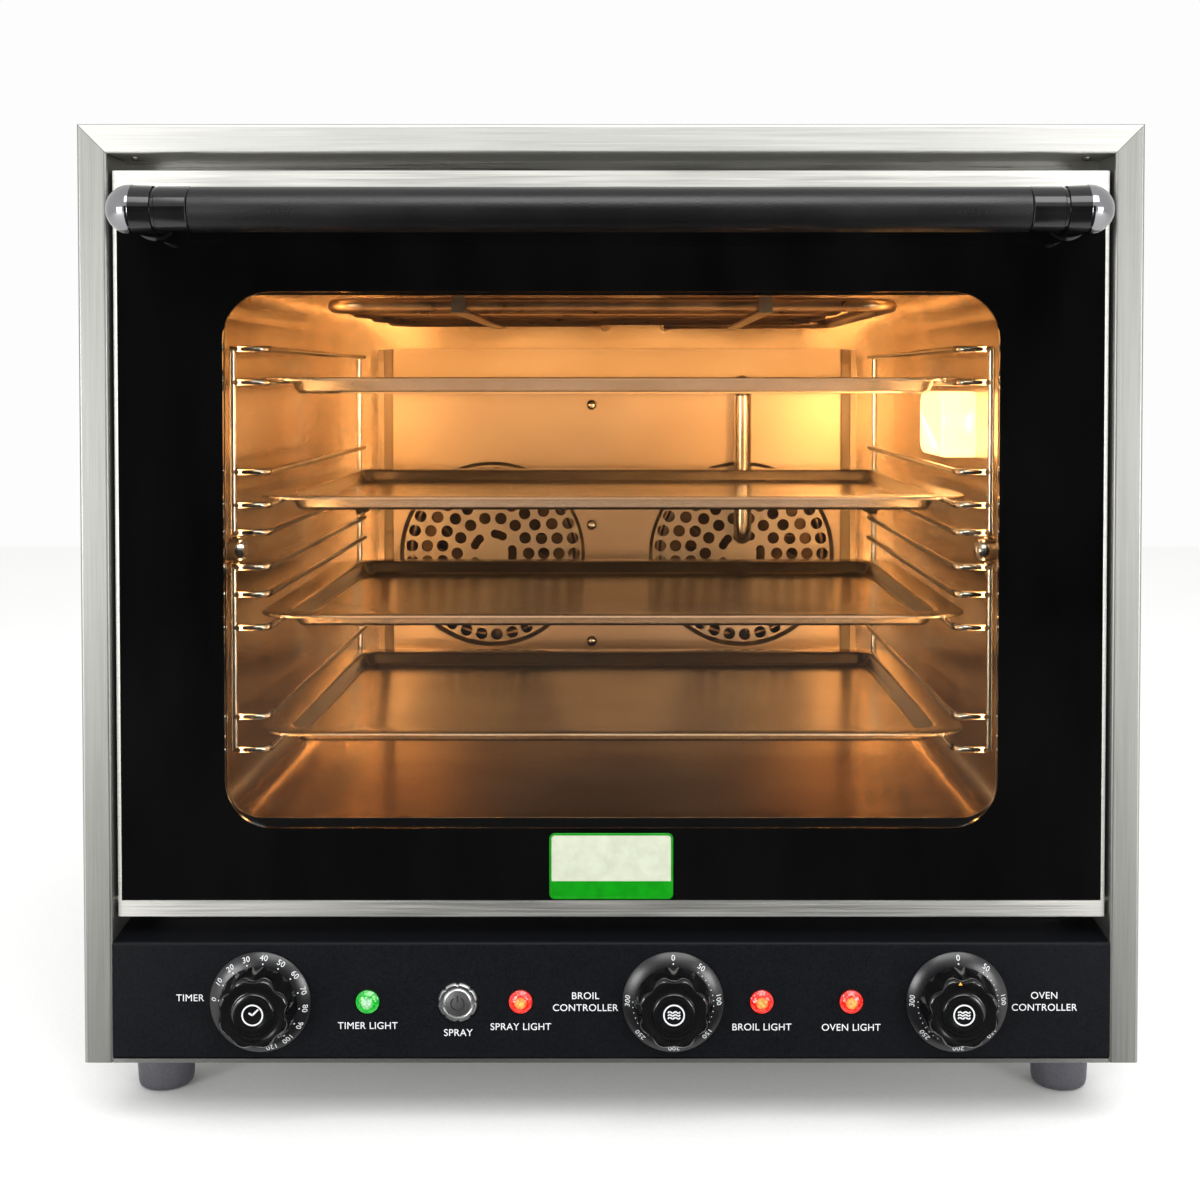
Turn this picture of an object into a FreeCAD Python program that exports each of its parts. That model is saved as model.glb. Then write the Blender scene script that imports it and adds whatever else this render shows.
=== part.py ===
"""Counter-top tray oven: four trays, two fans, grill element, steam spray and a drop-down glass door.

Millimetres, +Z up, front towards -Y, +X to the right of a person facing the oven.
The origin is at the middle of the footprint, on the surface that the feet stand on.
Depths are counted from the front face of the bezel towards the back: y = FRONT + depth.
"""

import FreeCAD, Part
import math
import os

V = FreeCAD.Vector

# ---------------------------------------------------------------- driving dimensions
# Body
WIDTH = 595.0
HEIGHT = 570.0
BODY_DEPTH = 530.0
HANDLE_REACH = 55.0          # how far the handle stands in front of the bezel
REAR_REACH = 20.0            # how far the fittings stand behind the back cover
FOOT_HEIGHT = 42.0
SHEET = 1.2                  # thickness of the casing sheets
CASING_BEND = 1.2            # inner radius of the casing's folds
GAP = 0.3                    # gap between neighbours that don't touch

# Bezel and control panel
BEZEL_WIDTH = 16.5
BEZEL_RETURN = 33.5
BEZEL_LIP = 12.0
BASE_HEM = 2.3
PANEL_HEIGHT = 66.2
PANEL_RISE = 3.0             # the panel's top slopes up towards the back

# Trays, racks and cavity
TRAY_WIDTH = 435.0
TRAY_DEPTH = 310.0
TRAY_HEIGHT = 10.0
TRAY_SHEET = 1.0
TRAY_RIM = 19.0
TRAY_CORNER = 24.0
TRAY_COUNT = 4
TRAY_SETBACK = 77.0          # front edge of the trays behind the bezel
TRAY_SIDE_ROOM = 12.5        # from tray edge to cavity wall
TRAY_BACK_ROOM = 21.0        # from tray edge to the fan baffle
RAIL_PITCH = 72.0
RAIL_FIRST = 43.5            # lowest rail above the cavity floor
RAIL_GUARD = 19.5            # upper wire of each pair above the lower one
WIRE = 4.0
CAVITY_FLOOR = 166.5
CAVITY_HEIGHT = 317.5
CAVITY_CORNER = 20.0
LINER_SHEET = 1.0
INSULATION = 20.0

# Fans
FAN_SPACING = 202.0
FAN_HEIGHT = 119.8           # fan axis above the cavity floor
GUARD_RADIUS = 76.0
GUARD_DISH = 6.0
WHEEL_RADIUS = 59.0
WHEEL_DEPTH = 22.0
BAFFLE_SPACE = 38.0          # from the baffle to the cavity's back wall
BAFFLE_HEIGHT = 286.0
GUARD_FLANGE = 4.0           # how far a guard's flat edge laps behind the baffle
SHAFT_RADIUS = 4.0
RUNNING_FIT = 0.05           # radial clearance of a turning shaft
MOTOR_LENGTH = 46.0
MOTOR_POST_X = 36.0

# Heating elements, steam and lamp
BROIL_DROP = 12.0            # grill element below the cavity's ceiling
BROIL_RADIUS = 4.0
BROIL_PITCH = 40.0
BROIL_TERMINALS = (-10.0, 40.0)
STRAP_X = 90.0
STRAP_WIDTH = 8.0
RING_TUBE = 3.2
RING_ELEMENT_RADIUS = 68.0
RING_END_X = 9.0             # half the distance between a ring element's ends
STEAM_HEIGHT = 257.4         # pipe's way in above the cavity floor
STEAM_OUTLET = 135.0         # pipe's outlet above the cavity floor
STEAM_RADIUS = 7.0
STEAM_WALL = 1.5
STEAM_BEND = 9.5
STEAM_ELBOW = 9.0
LAMP_DEPTH = (123.0, 203.0)
LAMP_ABOVE_RAIL = 24.0       # lamp's lower edge above the third rail
LAMP_BELOW_RAIL = 6.0        # lamp's upper edge below the fourth rail
LAMP_DROP = 22.0             # how far the lamp's glass stands into the cavity
LAMP_BOX = 26.0              # depth of the lamp's housing behind the wall
LAMP_FLANGE = 5.0
LAMP_SOCKET = 16.0

# Rack fixings
RACK_SPLIT = 20.5            # between the end wires of the lower and the upper rack
STUD_RADIUS = 4.0
STUD_COLLAR = 6.0            # length of the collar that keeps the racks apart

# Door
DOOR_THICKNESS = 24.0
DOOR_SETBACK = 5.0
DOOR_SIDE_GAP = 1.8
DOOR_TOP_GAP = 8.9
DOOR_PANEL_GAP = 13.2        # from the control panel to the door
GLASS = 4.0
TOP_RAIL = 12.0
BOTTOM_RAIL = 9.1
HANDLE_RADIUS = 12.0
HANDLE_BALL = 13.2
HANDLE_DROP = 26.6           # handle axis below the door's top edge
HANDLE_SPAN = 509.0          # between the two end balls
HANDLE_GRIP = 445.0
PIVOT_BACK = 11.0            # hinge axis behind the door's front
PIVOT_UP = 5.5               # hinge axis above the door's lower edge
PIN_RADIUS = 2.5
BARREL_RADIUS = 4.0          # shoulder of the hinge pin in the bezel's return
HINGE_BLOCK = 11.0           # width of the block that turns on the pin
BADGE_WIDTH = 70.0
BADGE_HEIGHT = 37.5
BADGE_THICKNESS = 1.2

# Controls
CONTROL_HEIGHT = 77.0
TIMER_X = -197.8
BROIL_X = 34.9
OVEN_X = 195.0
TIMER_LIGHT_X = -137.4
RED_LIGHTS_X = (-51.1, 84.9, 135.4)
BUTTON_X = -86.4
RING_RADIUS = 28.5
KNOB_RADIUS = 22.0
KNOB_DEPTH = 18.5
SPINDLE_RADIUS = 3.0
NECK_RADIUS = 5.0            # threaded neck of a control
LENS_RADIUS = 6.75
BUTTON_RADIUS = 8.0
BUTTON_RIM = 3.2
BUTTON_TRAVEL = 2.5
SWITCH_FRONT = 15.0          # switch block behind the panel's face

# Feet and rear fittings
FOOT_TOP_RADIUS = 18.25
FOOT_BOTTOM_RADIUS = 16.0
FOOT_INSET_X = 25.5
FOOT_INSET_FRONT = 73.0
FOOT_INSET_BACK = 60.0
INLET_RADIUS = 13.2
GLAND_RADIUS = 12.0
GLAND_BORE = 5.0
GLAND_X = -200.0
GLAND_Z = 84.0

# ---------------------------------------------------------------- worked-out places
HALF = WIDTH / 2
FRONT = HANDLE_REACH - (HANDLE_REACH + BODY_DEPTH + REAR_REACH) / 2
INNER = HALF - SHEET                         # inside face of the casing
MOUTH = HALF - BEZEL_WIDTH                   # inside face of the bezel
PANEL_LOW = FOOT_HEIGHT + BASE_HEM
PANEL_TOP = PANEL_LOW + PANEL_HEIGHT
DOOR_HALF = MOUTH - DOOR_SIDE_GAP
DOOR_LOW = PANEL_TOP + DOOR_PANEL_GAP
DOOR_HIGH = HEIGHT - BEZEL_WIDTH - DOOR_TOP_GAP
DOOR_BACK = DOOR_SETBACK + DOOR_THICKNESS
FRAME_DEPTH = BEZEL_RETURN                   # front of the face frame
LINER_FRONT = FRAME_DEPTH + SHEET
CAVITY_HALF = TRAY_WIDTH / 2 + TRAY_SIDE_ROOM
CAVITY_TOP = CAVITY_FLOOR + CAVITY_HEIGHT
TRAY_BACK = TRAY_SETBACK + TRAY_DEPTH
BAFFLE_DEPTH = TRAY_BACK + TRAY_BACK_ROOM
CAVITY_BACK = BAFFLE_DEPTH + BAFFLE_SPACE
LINER_BACK = CAVITY_BACK + LINER_SHEET
BLANKET_BACK = LINER_BACK + INSULATION
FAN_X = FAN_SPACING / 2
FAN_Z = CAVITY_FLOOR + FAN_HEIGHT
BAFFLE_HALF = FAN_X + GUARD_RADIUS + GUARD_FLANGE + 0.5
BAFFLE_SIDE = CAVITY_HALF - BAFFLE_HALF      # room beside the baffle for its slanted side and foot
COVER_FRONT = BODY_DEPTH - SHEET             # inside face of the back cover
RAIL_X = TRAY_WIDTH / 2 - TRAY_RIM + WIRE / 2 + 1.5
POST_X = TRAY_WIDTH / 2 + WIRE / 2 + 2.5
POST_DEPTH = LINER_FRONT + 11.3
RAIL_BACK = TRAY_BACK + 5.0
RAILS = [CAVITY_FLOOR + RAIL_FIRST + RAIL_PITCH * i for i in range(TRAY_COUNT)]
STUD_Z = (RAILS[1] + RAIL_GUARD + RAILS[2]) / 2
REAR_POST_X = RAIL_X + WIRE * 0.85
LAMP_Z = (RAILS[2] + LAMP_ABOVE_RAIL, RAILS[3] - LAMP_BELOW_RAIL)
STEAM_Z = CAVITY_FLOOR + STEAM_HEIGHT
STEAM_END = CAVITY_FLOOR + STEAM_OUTLET
BROIL_Z = CAVITY_TOP - BROIL_DROP
RING_END_DROP = math.sqrt(RING_ELEMENT_RADIUS ** 2 - RING_END_X ** 2)
MOTOR_FRONT = BLANKET_BACK + 3.0
MOTOR_BACK = MOTOR_FRONT + MOTOR_LENGTH
VALVE_FRONT = BLANKET_BACK + 4.0
PIVOT_DEPTH = DOOR_SETBACK + PIVOT_BACK
PIVOT_Z = DOOR_LOW + PIVOT_UP
HANDLE_DEPTH = HANDLE_BALL - HANDLE_REACH
HANDLE_Z = DOOR_HIGH - HANDLE_DROP
BALL_X = HANDLE_SPAN / 2


# ---------------------------------------------------------------- helpers
def box(x0, x1, d0, d1, z0, z1):
    """Block between two X values, two depths and two heights."""
    return Part.makeBox(x1 - x0, d1 - d0, z1 - z0, V(x0, FRONT + d0, z0))


def at(x, depth, z):
    """Point given by X, depth behind the bezel and height."""
    return V(x, FRONT + depth, z)


def rod(radius, start, end):
    """Round bar between two points."""
    run = end - start
    return Part.makeCylinder(radius, run.Length, start, run)


def disc(radius, x, z, d0, d1):
    """Round bar along the depth."""
    return rod(radius, at(x, d0, z), at(x, d1, z))


def fuse(shapes):
    """One solid out of pieces that overlap or meet."""
    return shapes[0].multiFuse(shapes[1:]).removeSplitter()


def mirrored(shape):
    """The same piece on the other side of the oven."""
    return shape.mirror(V(0, 0, 0), V(1, 0, 0))


def pair(shape):
    """A piece on the right and its mirror image on the left."""
    return [shape, mirrored(shape)]


def round_path(points, radii, closed=False):
    """Wire of straight runs joined by tangent arcs, one radius for each point."""
    count = len(points)
    edges = []
    previous = None
    first = None
    for i, corner in enumerate(points):
        inner = closed or 0 < i < count - 1
        arrive = leave = corner
        bend = None
        if inner and radii[i] > 0:
            into = (corner - points[i - 1]).normalize()
            out = (points[(i + 1) % count] - corner).normalize()
            turn = into.getAngle(out)
            if turn > 1e-6:
                reach = radii[i] * math.tan(turn / 2)
                arrive = corner - into * reach
                leave = corner + out * reach
                towards = (out - into).normalize()
                centre = corner + towards * (radii[i] / math.cos(turn / 2))
                bend = Part.Arc(arrive, centre - towards * radii[i], leave)
        if previous is None:
            first = arrive
        elif previous.distanceToPoint(arrive) > 1e-6:
            edges.append(Part.LineSegment(previous, arrive).toShape())
        if bend:
            edges.append(bend.toShape())
        previous = leave
    if closed and previous.distanceToPoint(first) > 1e-6:
        edges.append(Part.LineSegment(previous, first).toShape())
    return Part.Wire(Part.__sortEdges__(edges))


def slab(points, radius, run):
    """Closed outline with rounded corners, extruded along run."""
    radii = radius if isinstance(radius, list) else [radius] * len(points)
    return Part.Face(round_path(points, radii, closed=True)).extrude(run)


def rounded_plate(x0, x1, z0, z1, radius, d0, d1):
    """Upright plate with rounded corners, between two depths."""
    points = [at(x0, d0, z0), at(x1, d0, z0), at(x1, d0, z1), at(x0, d0, z1)]
    return slab(points, radius, V(0, d1 - d0, 0))


def folded_sheet(points, place, run, thickness=SHEET, bend=0.6):
    """Folded sheet: the path of its outer face, thickened to the left of the path, extruded along run.

    points are pairs in the plane of the section, and place turns a pair into a point in space.
    """
    count = len(points)
    ways = []
    for (u0, v0), (u1, v1) in zip(points, points[1:]):
        length = math.hypot(u1 - u0, v1 - v0)
        ways.append(((u1 - u0) / length, (v1 - v0) / length))
    inside = []
    outer_radii = []
    inner_radii = []
    for i, (u, v) in enumerate(points):
        before = ways[max(i - 1, 0)]
        after = ways[min(i, count - 2)]
        turn = math.atan2(before[0] * after[1] - before[1] * after[0],
                          before[0] * after[0] + before[1] * after[1])
        mid = ((before[0] + after[0]), (before[1] + after[1]))
        scale = thickness / (math.cos(turn / 2) * math.hypot(*mid))
        inside.append((u - mid[1] * scale, v + mid[0] * scale))
        ends = i in (0, count - 1)
        outer_radii.append(0 if ends else bend + (thickness if turn > 0 else 0))
        inner_radii.append(0 if ends else bend + (thickness if turn < 0 else 0))
    outline = [place(u, v) for u, v in points] + [place(u, v) for u, v in reversed(inside)]
    return slab(outline, outer_radii + inner_radii[::-1], run)


def turned(profile, x, z):
    """Solid of revolution about a front-to-back axis; profile holds pairs (radius, depth)."""
    points = [at(x + radius, depth, z) for radius, depth in profile]
    face = Part.Face(Part.makePolygon(points + points[:1]))
    return face.revolve(at(x, 0, z), V(0, 1, 0), 360)


def tube(points, radius, bend, bore=0.0):
    """Round bar or pipe along straight runs joined by bends."""
    path = round_path(points, bend if isinstance(bend, list) else [bend] * len(points))
    start = points[0]
    way = (points[1] - points[0]).normalize()
    ring = Part.Wire(Part.makeCircle(radius, start, way))
    solid = path.makePipe(Part.Face(ring))
    if bore:
        hole = Part.Wire(Part.makeCircle(bore, start, way))
        solid = solid.cut(path.makePipe(Part.Face(hole)))
    return solid


# ---------------------------------------------------------------- casing
def outer_casing():
    """Top and both sides, folded from one sheet."""
    points = [(HALF, FOOT_HEIGHT), (HALF, HEIGHT), (-HALF, HEIGHT), (-HALF, FOOT_HEIGHT)]
    return folded_sheet(points, lambda x, z: at(x, BEZEL_LIP, z), V(0, BODY_DEPTH - BEZEL_LIP, 0),
                        bend=CASING_BEND)


def back_cover():
    """Flanged back sheet with two fields of vent slots."""
    low = FOOT_HEIGHT + SHEET
    high = HEIGHT - SHEET
    flange = 12.0
    pan = rounded_plate(-INNER, INNER, low, high, CASING_BEND + GAP, BODY_DEPTH - flange, BODY_DEPTH)
    pan = pan.cut(box(-INNER + SHEET, INNER - SHEET, BODY_DEPTH - flange, COVER_FRONT,
                      low + SHEET, high - SHEET))
    slot_pitch = 12.0
    slot_rows = 9
    slot_half = 52.0
    cuts = []
    for side in (-1, 1):
        for row in range(slot_rows):
            z = FAN_Z + slot_pitch * (row - (slot_rows - 1) / 2)
            x = side * FAN_X
            cuts.append(rounded_plate(x - slot_half, x + slot_half, z - 2, z + 2, 1.9,
                                      COVER_FRONT - 1, BODY_DEPTH + 1))
    cuts.append(disc(INLET_RADIUS + 0.8, FAN_X, STEAM_Z, COVER_FRONT - 1, BODY_DEPTH + 1))
    cuts.append(disc(GLAND_RADIUS - 2 + GAP, GLAND_X, GLAND_Z, COVER_FRONT - 1, BODY_DEPTH + 1))
    return pan.cut(cuts)


def base_plate():
    """Floor of the chassis with a hem that shows below the control panel."""
    top = FOOT_HEIGHT + SHEET
    front = box(-MOUTH, MOUTH, 0, BEZEL_RETURN, FOOT_HEIGHT, top)
    hem = box(-MOUTH, MOUTH, 0, SHEET, FOOT_HEIGHT, PANEL_LOW)
    main = box(-INNER, INNER, BEZEL_RETURN, BODY_DEPTH, FOOT_HEIGHT, top)
    plate = fuse([front, hem, main])
    vents = []
    pitch = 24.0
    half = 3.0
    near, far = 120.0, 190.0
    under = FOOT_HEIGHT - 1
    for column in range(-7, 8):
        x = pitch * column
        left, right = x - half, x + half
        points = [at(left, near, under), at(right, near, under), at(right, far, under), at(left, far, under)]
        vents.append(slab(points, half - 0.1, V(0, 0, SHEET + 2)))
    return plate.cut(vents)


def bezel_bar(start, end, place):
    """One bar of the bezel: outer lip, front face and inner return, running from start to end."""
    points = [(0, BEZEL_LIP), (0, 0), (BEZEL_WIDTH, 0), (BEZEL_WIDTH, BEZEL_RETURN)]
    return folded_sheet(points, lambda across, depth: place(across, depth, start),
                        place(0, 0, end) - place(0, 0, start), bend=0.5)


def front_bezel():
    """Three mitred bars round the door and the control panel."""
    top = bezel_bar(-HALF, HALF, lambda across, depth, along: at(along, depth, HEIGHT - across))
    left = bezel_bar(FOOT_HEIGHT, HEIGHT, lambda across, depth, along: at(-HALF + across, depth, along))
    past = 5.0
    corner = [at(-HALF, -past, HEIGHT), at(HALF, -past, HEIGHT),
              at(MOUTH, -past, HEIGHT - BEZEL_WIDTH), at(-MOUTH, -past, HEIGHT - BEZEL_WIDTH)]
    side = [at(-HALF, -past, FOOT_HEIGHT), at(-MOUTH, -past, FOOT_HEIGHT),
            at(-MOUTH, -past, HEIGHT - BEZEL_WIDTH), at(-HALF, -past, HEIGHT)]
    through = V(0, BEZEL_RETURN + 2 * past, 0)
    top = top.common(slab(corner, 0, through))
    left = left.common(slab(side, 0, through))
    left = left.cut(rod(BARREL_RADIUS + GAP, at(-HALF + SHEET + 1, PIVOT_DEPTH, PIVOT_Z),
                        at(0, PIVOT_DEPTH, PIVOT_Z)))
    return [top, left, mirrored(left)]


def face_frame():
    """Plate round the mouth of the cavity."""
    low = PANEL_TOP + PANEL_RISE + GAP
    outer = rounded_plate(-INNER, INNER, low, HEIGHT - SHEET, CASING_BEND + GAP, FRAME_DEPTH, LINER_FRONT)
    return outer.cut(rounded_plate(-CAVITY_HALF, CAVITY_HALF, CAVITY_FLOOR, CAVITY_TOP, CAVITY_CORNER,
                                   FRAME_DEPTH - 1, LINER_FRONT + 1))


def door_gasket():
    """Seal round the cavity mouth, pressed on the face frame."""
    width = 9.0
    edge = 5.0
    front = DOOR_BACK + GAP
    ring = rounded_plate(-CAVITY_HALF - edge - width, CAVITY_HALF + edge + width,
                         CAVITY_FLOOR - edge - width, CAVITY_TOP + edge + width,
                         CAVITY_CORNER + edge + width, front, FRAME_DEPTH)
    hole = rounded_plate(-CAVITY_HALF - edge, CAVITY_HALF + edge, CAVITY_FLOOR - edge, CAVITY_TOP + edge,
                         CAVITY_CORNER + edge, front - 1, FRAME_DEPTH + 1)
    return ring.cut(hole)


# ---------------------------------------------------------------- cavity
def lamp_window(d0, grow=0.0):
    """Opening of the lamp in the right-hand wall."""
    x0 = CAVITY_HALF - 1
    points = [at(x0, LAMP_DEPTH[0] + LAMP_FLANGE - grow, LAMP_Z[0] + LAMP_FLANGE - grow),
              at(x0, LAMP_DEPTH[1] - LAMP_FLANGE + grow, LAMP_Z[0] + LAMP_FLANGE - grow),
              at(x0, LAMP_DEPTH[1] - LAMP_FLANGE + grow, LAMP_Z[1] - LAMP_FLANGE + grow),
              at(x0, LAMP_DEPTH[0] + LAMP_FLANGE - grow, LAMP_Z[1] - LAMP_FLANGE + grow)]
    return slab(points, 6.0, V(d0, 0, 0))


def wall_holes(d0, d1, spare):
    """Holes through the back wall for the fan shafts, pipe and element ends."""
    holes = [disc(SHAFT_RADIUS + 4 + spare, side * FAN_X, FAN_Z, d0, d1) for side in (-1, 1)]
    holes.append(disc(STEAM_RADIUS + GAP + spare, FAN_X, STEAM_Z, d0, d1))
    holes += [disc(BROIL_RADIUS + GAP + spare, x, BROIL_Z, d0, d1) for x in BROIL_TERMINALS]
    for side in (-1, 1):
        holes += [disc(RING_TUBE + GAP + spare, side * FAN_X + offset, FAN_Z - RING_END_DROP, d0, d1)
                  for offset in (-RING_END_X, RING_END_X)]
    return holes


def oven_liner():
    """Cavity of polished sheet, open at the front."""
    outer = rounded_plate(-CAVITY_HALF - LINER_SHEET, CAVITY_HALF + LINER_SHEET, CAVITY_FLOOR - LINER_SHEET,
                          CAVITY_TOP + LINER_SHEET, CAVITY_CORNER + LINER_SHEET, LINER_FRONT, LINER_BACK)
    inner = rounded_plate(-CAVITY_HALF, CAVITY_HALF, CAVITY_FLOOR, CAVITY_TOP, CAVITY_CORNER,
                          LINER_FRONT - 1, CAVITY_BACK)
    liner = outer.cut([inner] + wall_holes(CAVITY_BACK - 1, LINER_BACK + 1, 0))
    return liner.cut(lamp_window(10))


def insulation_blanket():
    """Mineral wool round the liner."""
    grow = LINER_SHEET + INSULATION
    outer = rounded_plate(-CAVITY_HALF - grow, CAVITY_HALF + grow, CAVITY_FLOOR - grow, CAVITY_TOP + grow,
                          CAVITY_CORNER + grow, LINER_FRONT, BLANKET_BACK)
    inner = rounded_plate(-CAVITY_HALF - LINER_SHEET, CAVITY_HALF + LINER_SHEET, CAVITY_FLOOR - LINER_SHEET,
                          CAVITY_TOP + LINER_SHEET, CAVITY_CORNER + LINER_SHEET, LINER_FRONT - 1, LINER_BACK)
    cuts = [inner] + wall_holes(LINER_BACK - 1, BLANKET_BACK + 1, 1.0)
    for side in (-1, 1):
        x = side * FAN_X
        cuts.append(box(x - MOTOR_POST_X - 6, x + MOTOR_POST_X + 6, LINER_BACK - 1, BLANKET_BACK + 1,
                        FAN_Z - 8, FAN_Z + 8))
    cuts.append(lamp_window(INSULATION + 20, 3.0))
    return outer.cut(cuts)


def lamp_holder():
    """Housing behind the wall, open towards the cavity."""
    x0 = CAVITY_HALF + LINER_SHEET
    wall = 1.0
    low, high = LAMP_Z[0] + LAMP_FLANGE, LAMP_Z[1] - LAMP_FLANGE
    near, far = LAMP_DEPTH[0] + LAMP_FLANGE, LAMP_DEPTH[1] - LAMP_FLANGE
    shell = box(x0, x0 + LAMP_BOX, near - wall, far + wall, low - wall, high + wall)
    shell = shell.cut(box(x0 - 1, x0 + LAMP_BOX - wall, near, far, low, high))
    middle = (low + high) / 2
    socket = rod(8.0, at(x0 + 8, near, middle), at(x0 + 8, near + LAMP_SOCKET, middle))
    return fuse([shell, socket])


def lamp_bulb():
    """Halogen capsule in its socket."""
    x = CAVITY_HALF + LINER_SHEET + 8
    middle = sum(LAMP_Z) / 2
    start = LAMP_DEPTH[0] + LAMP_FLANGE + LAMP_SOCKET
    length = 26.0
    radius = 6.0
    body = rod(radius, at(x, start, middle), at(x, start + length, middle))
    return fuse([body, Part.makeSphere(radius, at(x, start + length, middle))])


def lamp_cover():
    """Glass dish over the lamp."""
    x1 = CAVITY_HALF
    x0 = x1 - LAMP_DROP
    wall = 2.0
    points = [at(x0, LAMP_DEPTH[0], LAMP_Z[0]), at(x0, LAMP_DEPTH[1], LAMP_Z[0]),
              at(x0, LAMP_DEPTH[1], LAMP_Z[1]), at(x0, LAMP_DEPTH[0], LAMP_Z[1])]
    outer = slab(points, 9.0, V(LAMP_DROP, 0, 0))
    rim = [edge for edge in outer.Edges if edge.BoundBox.XMax < x0 + 0.01]
    outer = outer.makeFillet(4.0, rim)
    near, far = LAMP_DEPTH[0] + wall, LAMP_DEPTH[1] - wall
    low, high = LAMP_Z[0] + wall, LAMP_Z[1] - wall
    seat = x0 + wall
    inside = [at(seat, near, low), at(seat, far, low), at(seat, far, high), at(seat, near, high)]
    return outer.cut(slab(inside, 7.0, V(LAMP_DROP, 0, 0)))


def fan_baffle():
    """Panel in front of the fans, with slanted sides that reach the back wall."""
    slope = BAFFLE_SIDE / 4
    foot = BAFFLE_SIDE / 10
    back = CAVITY_BACK - SHEET
    points = [(BAFFLE_HALF + slope + foot, back), (BAFFLE_HALF + slope, back), (BAFFLE_HALF, BAFFLE_DEPTH),
              (-BAFFLE_HALF, BAFFLE_DEPTH), (-BAFFLE_HALF - slope, back), (-BAFFLE_HALF - slope - foot, back)]
    points = points[::-1]
    low = CAVITY_FLOOR + 1.5
    high = CAVITY_FLOOR + BAFFLE_HEIGHT
    panel = folded_sheet(points, lambda x, depth: at(x, depth, low), V(0, 0, high - low))
    cuts = [disc(GUARD_RADIUS, side * FAN_X, FAN_Z, BAFFLE_DEPTH - 5, BAFFLE_DEPTH + 5) for side in (-1, 1)]
    cuts.append(disc(STEAM_RADIUS + GAP, FAN_X, STEAM_Z, BAFFLE_DEPTH - 5, BAFFLE_DEPTH + 5))
    inside = rounded_plate(-CAVITY_HALF + GAP, CAVITY_HALF - GAP, CAVITY_FLOOR + GAP, CAVITY_TOP - GAP,
                           CAVITY_CORNER, BAFFLE_DEPTH - 5, CAVITY_BACK)
    return panel.cut(cuts).common(inside)


def fan_guard(x):
    """Dished disc with rings of round holes and slots round the middle."""
    seat = BAFFLE_DEPTH + SHEET
    floor = BAFFLE_DEPTH + GUARD_DISH
    sheet = 1.0
    edge = GUARD_RADIUS - 4.0
    profile = [(0, floor), (edge, floor), (GUARD_RADIUS - 1.0, seat),
               (GUARD_RADIUS + GUARD_FLANGE, seat), (GUARD_RADIUS + GUARD_FLANGE, seat + sheet),
               (GUARD_RADIUS, seat + sheet), (edge + 1, floor + sheet), (0, floor + sheet)]
    disc_solid = turned(profile, x, FAN_Z)
    cuts = []
    hole = 4.8
    pitch = 12.3
    for step in range(4):
        ring = edge - 6.0 - pitch * step
        count = int(2 * math.pi * ring / pitch)
        for i in range(count):
            angle = 2 * math.pi * i / count
            cuts.append(disc(hole, x + ring * math.cos(angle), FAN_Z + ring * math.sin(angle),
                             floor - 2, floor + 3))
    slot_ring = 16.0
    slots = 5
    for i in range(slots):
        for step in (-0.2, 0.0, 0.2):
            angle = 2 * math.pi * i / slots + step
            cuts.append(disc(3.6, x + slot_ring * math.cos(angle), FAN_Z + slot_ring * math.sin(angle),
                             floor - 2, floor + 3))
    return disc_solid.cut(cuts)


def fan_wheel(x):
    """Radial fan wheel: back disc, blades, front ring and hub."""
    front = BAFFLE_DEPTH + GUARD_DISH + 5.0
    back = front + WHEEL_DEPTH
    plate = disc(WHEEL_RADIUS, x, FAN_Z, back - 1, back)
    eye = WHEEL_RADIUS - 14
    ring = disc(WHEEL_RADIUS, x, FAN_Z, front, front + 1).cut(disc(eye, x, FAN_Z, front - 1, front + 2))
    hub = disc(9, x, FAN_Z, front + 6, back)
    inner = x + WHEEL_RADIUS - 22
    blade = box(inner, x + WHEEL_RADIUS - 1, front + 0.5, back - 0.5, FAN_Z - 0.6, FAN_Z + 0.6)
    blade.rotate(at(inner, 0, FAN_Z), V(0, 1, 0), 25)
    pieces = [plate, ring, hub]
    blades = 16
    for i in range(blades):
        copy = blade.copy()
        copy.rotate(at(x, 0, FAN_Z), V(0, 1, 0), 360 / blades * i)
        pieces.append(copy)
    wheel = fuse(pieces)
    return wheel.cut(disc(SHAFT_RADIUS, x, FAN_Z, front - 1, back + 1))


def fan_shaft(x):
    """Motor shaft with the nut that holds the wheel."""
    front = BAFFLE_DEPTH + GUARD_DISH + 5.0
    shaft = disc(SHAFT_RADIUS, x, FAN_Z, front + 1.5, MOTOR_BACK - 3)
    nut = disc(6.0, x, FAN_Z, front + 1.5, front + 6)
    return fuse([nut, shaft])


def fan_motor(x):
    """Shaded-pole motor on two posts that are fixed to the cavity's back wall."""
    plate = box(x - 44, x + 44, MOTOR_FRONT, MOTOR_FRONT + 2, FAN_Z - 14, FAN_Z + 14)
    stack = box(x - 33, x + 33, MOTOR_FRONT + 12, MOTOR_FRONT + 34, FAN_Z - 33, FAN_Z + 33)
    rotor = disc(24, x, FAN_Z, MOTOR_FRONT + 2, MOTOR_BACK)
    posts = [disc(4, x + side * MOTOR_POST_X, FAN_Z, LINER_BACK, MOTOR_FRONT + 12) for side in (-1, 1)]
    body = fuse([plate, stack, rotor] + posts)
    return body.cut(disc(SHAFT_RADIUS + RUNNING_FIT, x, FAN_Z, MOTOR_FRONT - 1, MOTOR_BACK + 1))


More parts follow.
